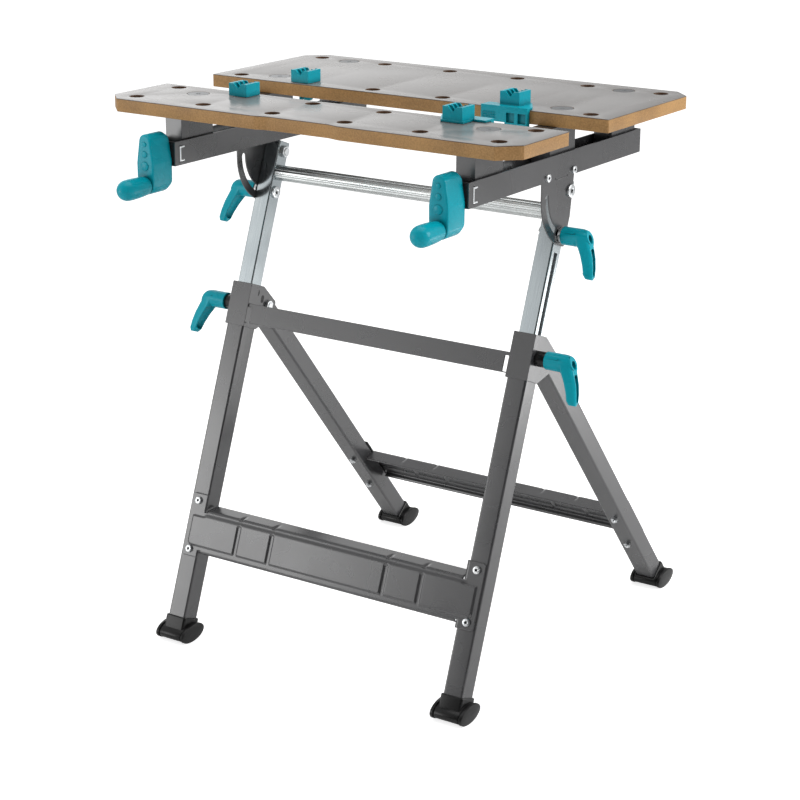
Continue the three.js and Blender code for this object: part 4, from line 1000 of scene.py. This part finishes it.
# %% Cranks and knobs
CRANK_CIRCLES = np.array([(0, 21.2, 9.6), (0, -9, 14.3), (0, -36.4, 14)])  # across, up and radius
CRANK_WAIST = -9
CRANK_BOSSES = ((17.8, 3.3), (4.2, 4.3), (-11.8, 6.2))
CRANK_EDGE = [(3.4, 0), (1.6, 0.12), (0.7, 0.5), (0.2, 1.2), (0, 2.2), (0, 32), (0, 34), (0, 36), (0, 38),
              (0.3, 39.4), (1.2, 40.2), (3, 40.4)]
CRANK_HEEL = {"from": 32, "long": 8.4, "share": 0.1}
CRANK_FRONT = -269
CRANK_HUB = [(11, 39), (11, 41.4), (0, 41.4)]
BOSS_STEPS = [(-0.9, 1.2), (-0.3, 0.95), (0, 0.4), (0.3, -0.4)]
KNOB_Z = -108
KNOB_PROFILE = [(0, -269.8), (11.4, -269.8), (12.4, -270.4), (12.8, -273), (13.5, -280), (14.1, -290),
                (14.3, -300), (14.1, -306)]
KNOB_END = {"tip": -321, "start": 0.12, "rows": 10}
KNOB_SIDES = 64


def hull_outline(circles, count=120):
    """The outline round several circles: centre + radius * n of the circle reaching furthest along n."""
    turn = np.arange(count) * 2 * np.pi / count
    normal = np.stack([np.cos(turn), np.sin(turn)], 1)
    reach = circles[:, :2] @ normal.T + circles[:, 2:]
    best = reach.argmax(0)
    return circles[best, :2] + circles[best, 2:] * normal


def crank_parts(x):
    """The arm, its three low bosses and the hub towards the rail."""
    def arm(a, b, height):
        drawn = 1 - CRANK_HEEL["share"] * soft_step((height - CRANK_HEEL["from"]) / CRANK_HEEL["long"])
        return on_table(x + a, CRANK_FRONT + height, SCREW_Z + CRANK_WAIST + (b - CRANK_WAIST) * drawn)
    parts = slab(hull_outline(CRANK_CIRCLES), [], CRANK_EDGE, arm)
    for rise, radius in CRANK_BOSSES:
        boss = [(0, BOSS_STEPS[0][1])] + [(radius + out, height) for out, height in BOSS_STEPS]
        parts.append(lathe(boss, facing(on_table, 1, -1, (x, CRANK_FRONT, SCREW_Z + rise))))
    parts.append(lathe(CRANK_HUB, facing(on_table, 1, 1, (x, CRANK_FRONT, SCREW_Z))))
    return parts


def knob_parts(x):
    """A turned grip: the last rows follow a round end."""
    last, near = KNOB_PROFILE[-1]
    turn = np.linspace(KNOB_END["start"], np.pi / 2, KNOB_END["rows"])
    round_end = np.stack([last * np.cos(turn), near + (KNOB_END["tip"] - near) * np.sin(turn)], 1)
    profile = [*KNOB_PROFILE, *round_end.tolist()]
    return [lathe(profile, facing(on_table, 1, 1, (x, 0, KNOB_Z)), KNOB_SIDES)]


for side, sign in SIDES.items():
    x = sign * RAIL_MIDDLE
    crank, knob = f"crank_{side}", f"crank_knob_{side}"
    make(crank + "_arm", crank_parts(x), [TEAL], body_of[crank], "teal_plastic", [crank])
    make(knob + "_grip", knob_parts(x), [TEAL], body_of[knob], "teal_plastic", [knob])
print("cranks and knobs")

# %% [markdown]
# ## Feet
# A foot is a pad shaped like a flattened drum lying across the leg, with a thicker cap at each end,
# and a sleeve round the leg. Where the drum would pass the floor it is flat.

# %% Feet
FOOT = {"deep": 25, "high": 12.6, "sleeve": 35, "round": 3.5, "sides": 64, "steps": 6}
FOOT_ENDS = [(25, 12.6), (25, 1.2), (24.7, 0.4), (24, 0), (20.6, 0), (20.2, 0.5), (20, 2),
             (18.6, 2), (18.4, 1.1), (17.8, 0.9)]  # from the foot's middle, and how far the drum is drawn in
SLEEVE_ROWS = [(2, 0.3), (18.6, 0.1), (19.8, 0.4), (20.4, 1), (20.5, 2.2), (8, 2.2)]  # up, drawn in
FRONT_FOOT = {"frame_of": on_front_leg, "down": 709.4, "tilt": math.radians(5), "half": LEG_HALF}
REAR_FOOT = {"frame_of": on_rear_leg, "down": 582.49, "tilt": math.radians(8), "half": REAR_HALF}


def foot_parts(x, frame_of, down, tilt, half):
    """The drum as rings along X, and the sleeve as rounded frames up the leg."""
    turn = np.arange(FOOT["sides"]) * 2 * np.pi / FOOT["sides"]
    ends = np.array(FOOT_ENDS)
    along, shrink = np.concatenate([ends * (-1, 1), ends[::-1]]).T[:, :, None]
    u = (FOOT["deep"] - shrink) * np.cos(turn)
    v = (FOOT["high"] - shrink) * np.sin(turn)
    drum = np.stack([np.broadcast_to(along, u.shape), u * math.cos(tilt) - v * math.sin(tilt),
                     u * math.sin(tilt) + v * math.cos(tilt)], -1) * MM + frame_of(x, 0, down)
    drum[..., 2] = drum[..., 2].clip(0)
    wide = FOOT["sleeve"] / 2
    square = [(-wide, -wide), (wide, -wide), (wide, wide), (-wide, wide)]
    loop = rounded(square, FOOT["round"], FOOT["steps"])
    loop = loop * (1, (wide - LEG_HALF + half) / wide)
    rings = [(inset(loop, drawn), up) for up, drawn in SLEEVE_ROWS]
    sleeve = np.stack([frame_of(x + ring[:, 0], ring[:, 1], down - up) for ring, up in rings])
    return [(drum, weave(len(along), len(turn)), 0), (sleeve, weave(len(rings), len(loop)), 0)]


for side, sign in SIDES.items():
    for name, kind in (("front_foot", FRONT_FOOT), ("rear_foot", REAR_FOOT)):
        node = f"{name}_{side}"
        parts = foot_parts(sign * LEG_MIDDLE, **kind)
        make(node + "_moulding", parts, [BLACK], body_of[node], "black_plastic", [node])
print("four feet")

# %% [markdown]
# ## Camera
# The camera stands at the front right, a little above the table, where the photograph was taken
# from. Its place is measured from the middle of the table top.

# %% The camera
CAMERA_PLACE = (1581.5, -2392.0, 476.0)
CAMERA_TURN = {"azimuth": 33.47, "pitch": 17.67, "roll": 0.32}
CAMERA_LENS = 94.80
SENSOR = 36
VIEW_END = 50  # metres

camera = bpy.data.objects.new("camera", bpy.data.cameras.new("camera"))
camera.data.lens = CAMERA_LENS
camera.data.sensor_width = SENSOR
camera.data.clip_end = VIEW_END
azimuth, pitch, roll = (math.radians(v) for v in CAMERA_TURN.values())
aimed = Matrix.Rotation(azimuth, 4, "Z") @ Matrix.Rotation(math.pi / 2 - pitch, 4, "X")
turned = aimed @ Matrix.Rotation(roll, 4, "Z")
camera.matrix_world = Matrix.Translation(on_table(*CAMERA_PLACE).tolist()) @ turned
bpy.context.scene.collection.objects.link(camera)
bpy.context.scene.camera = camera
print("camera with a", CAMERA_LENS, "mm lens")

# %% [markdown]
# ## Studio
# The bench stands on a white floor among five soft boxes. A low one at the front left shows in the
# left leg and across the panel and fades towards the right, and a wide one lights the fronts from
# above it. One at the right lights the right-hand sides, a small low one at the back right shows in
# the upper part of them, and a large one hangs overhead. To the eye the surroundings are white.
# Mirrors see them fall off towards the camera, where a studio is dark, which darkens every rounded
# corner that faces it. They also see a glow at the back on the left, which the boards show.

# %% Light and floor
CAMERA_SIDE = (0.55, -0.83, 0.0)  # level, from the bench towards the camera
LEFT_SIDE = (-1, 0, 0)
WHITE = linear("#FFFFFF")
# Places are in millimetres from the middle of the table top, sizes in metres and powers in watts
LAMPS = {
    "front_left_softbox": {
        "place": (-1536, -1770, -200), "aim": (0, -150, -350), "size": (1.05, 0.84), "power": 8.3},
    "upper_left_softbox": {
        "place": (-1250, -1900, 560), "aim": (0, -100, -250), "size": (1.5, 0.5), "power": 1.6},
    "right_softbox": {
        "place": (1900, 700, 500), "aim": (0, 0, -300), "size": (1.0, 1.0), "power": 21},
    "back_right_softbox": {
        "place": (996, 895, -640), "aim": (100, 0, -450), "size": (0.5, 0.26), "power": 1.3},
    "top_softbox": {
        "place": (0, 100, 1500), "aim": (0, 0, 0), "size": (1.8, 1.8), "power": 14},
}
SKY = 0.5
# What mirrors see along a direction, by its share towards the camera or, for the glow, to the left
MIRRORED = {"From Min": -1.0, "From Max": -0.1, "To Min": 0.3, "To Max": 0.7}
BACK_GLOW = {"From Min": 0.38, "From Max": 0.66, "To Min": 0.0, "To Max": 1.35}
BACK_ONLY = {"From Min": -0.9, "From Max": -0.6, "To Min": 1.0, "To Max": 0.0}
DARK_SIDE = {"From Min": -0.1, "From Max": 0.6, "To Min": 1.0, "To Max": 0.1}
FLOOR_GLOW = 0.75  # seen by the eye
FLOOR_MIRRORED = 0.15  # seen by mirrors
FLOOR_REACH = 20  # metres


def lamp(name, place, aim, size, power):
    """A soft box at a place from the middle of the table top, turned towards another place."""
    light = bpy.data.lights.new(name, "AREA")
    light.shape = "RECTANGLE"
    light.size, light.size_y = size
    light.energy = power
    thing = bpy.data.objects.new(name, light)
    here, there = (Vector(on_table(*spot).tolist()) for spot in (place, aim))
    turned = (there - here).to_track_quat("-Z", "Y").to_matrix().to_4x4()
    thing.matrix_world = Matrix.Translation(here) @ turned
    thing.visible_camera = False
    bpy.context.scene.collection.objects.link(thing)
    return thing


def surroundings():
    """White for the eye; mirrors see it fall off towards the camera's side and glow at
    the back on the left; a grey sky for the rest."""
    world = bpy.data.worlds.new("studio")
    world.use_nodes = True
    tree = world.node_tree
    tree.nodes.clear()
    path = add(tree, "LightPath").outputs
    towards = add(tree, "TexCoord").outputs["Generated"]
    side_in = {0: towards, 1: CAMERA_SIDE}
    side = add(tree, "VectorMath", side_in, operation="DOT_PRODUCT").outputs["Value"]
    rise = add(tree, "MapRange", {"Value": side, **MIRRORED}).outputs["Result"]
    dark = add(tree, "MapRange", {"Value": side, **DARK_SIDE}).outputs["Result"]
    left_in = {0: towards, 1: LEFT_SIDE}
    left = add(tree, "VectorMath", left_in, operation="DOT_PRODUCT").outputs["Value"]
    glow = add(tree, "MapRange", {"Value": left, **BACK_GLOW}).outputs["Result"]
    back = add(tree, "MapRange", {"Value": side, **BACK_ONLY}).outputs["Result"]
    wall = add(tree, "Math", {0: glow, 1: back}, operation="MULTIPLY").outputs[0]
    room = add(tree, "Math", {0: rise, 1: dark}, operation="MULTIPLY").outputs[0]
    fall = add(tree, "Math", {0: room, 1: wall}, operation="ADD").outputs[0]
    sky = add(tree, "Background", {"Color": WHITE, "Strength": SKY}).outputs[0]
    mirrored = add(tree, "Background", {"Color": WHITE, "Strength": fall}).outputs[0]
    plain = add(tree, "Background", {"Color": WHITE, "Strength": 1.0}).outputs[0]
    first = add(tree, "MixShader", {0: path["Is Glossy Ray"], 1: sky, 2: mirrored}).outputs[0]
    second = add(tree, "MixShader", {0: path["Is Transmission Ray"], 1: first, 2: plain}).outputs[0]
    third = add(tree, "MixShader", {0: path["Is Camera Ray"], 1: second, 2: plain}).outputs[0]
    add(tree, "OutputWorld", {"Surface": third})
    bpy.context.scene.world = world


def white_floor():
    """Painted studio floor: matt white, with a glow that only eye and mirrors see, so that it looks
    white without lighting the bench, and the shadow stays."""
    made, shader = speckled("painted_studio_floor", "#EDEDED", "#E9E9E9", 40.0, (0.8, 0.9), 0.01)
    tree = made.node_tree
    path = add(tree, "LightPath").outputs
    mirror_in = {0: path["Is Glossy Ray"], 1: path["Is Transmission Ray"]}
    mirror = add(tree, "Math", mirror_in, operation="MAXIMUM").outputs[0]
    faint = add(tree, "MapRange", {"Value": mirror, "To Max": FLOOR_MIRRORED}).outputs["Result"]
    glow_in = {"Value": path["Is Camera Ray"], "To Min": faint, "To Max": FLOOR_GLOW}
    glow = add(tree, "MapRange", glow_in).outputs["Result"]
    tree.links.new(glow, shader.inputs["Emission Strength"])
    shader.inputs["Emission Color"].default_value = WHITE
    shader.inputs["Specular IOR Level"].default_value = 0.0
    return made


for name, box in LAMPS.items():
    lamp(name, **box)
surroundings()
corners = [(-FLOOR_REACH, -FLOOR_REACH, 0), (FLOOR_REACH, -FLOOR_REACH, 0), (FLOOR_REACH, FLOOR_REACH, 0),
           (-FLOOR_REACH, FLOOR_REACH, 0)]
mesh = bpy.data.meshes.new("floor")
mesh.from_pydata(corners, [], [(0, 1, 2, 3)])
mesh.materials.append(white_floor())
floor = bpy.data.objects.new("floor", mesh)
bpy.context.scene.collection.objects.link(floor)
bpy.context.scene.view_settings.view_transform = "Standard"
print("studio with", len(LAMPS), "soft boxes")

# %% [markdown]
# ## Finishes of the imported solids
# Every imported solid keeps a finish of its own, also where a finished piece stands in for it.

# %% Finishes of the imported solids, end
FINISH_OF = {"grey_powder_coat": POWDER, "zinc_steel": ZINC_BOLT, "dark_steel": DARK, "teal_plastic": TEAL,
             "black_plastic": BLACK, "laminated_board": FIBRE}
for node, thing in nodes.items():
    thing.data.materials.clear()
    thing.data.materials.append(FINISH_OF[slot_of[node]])
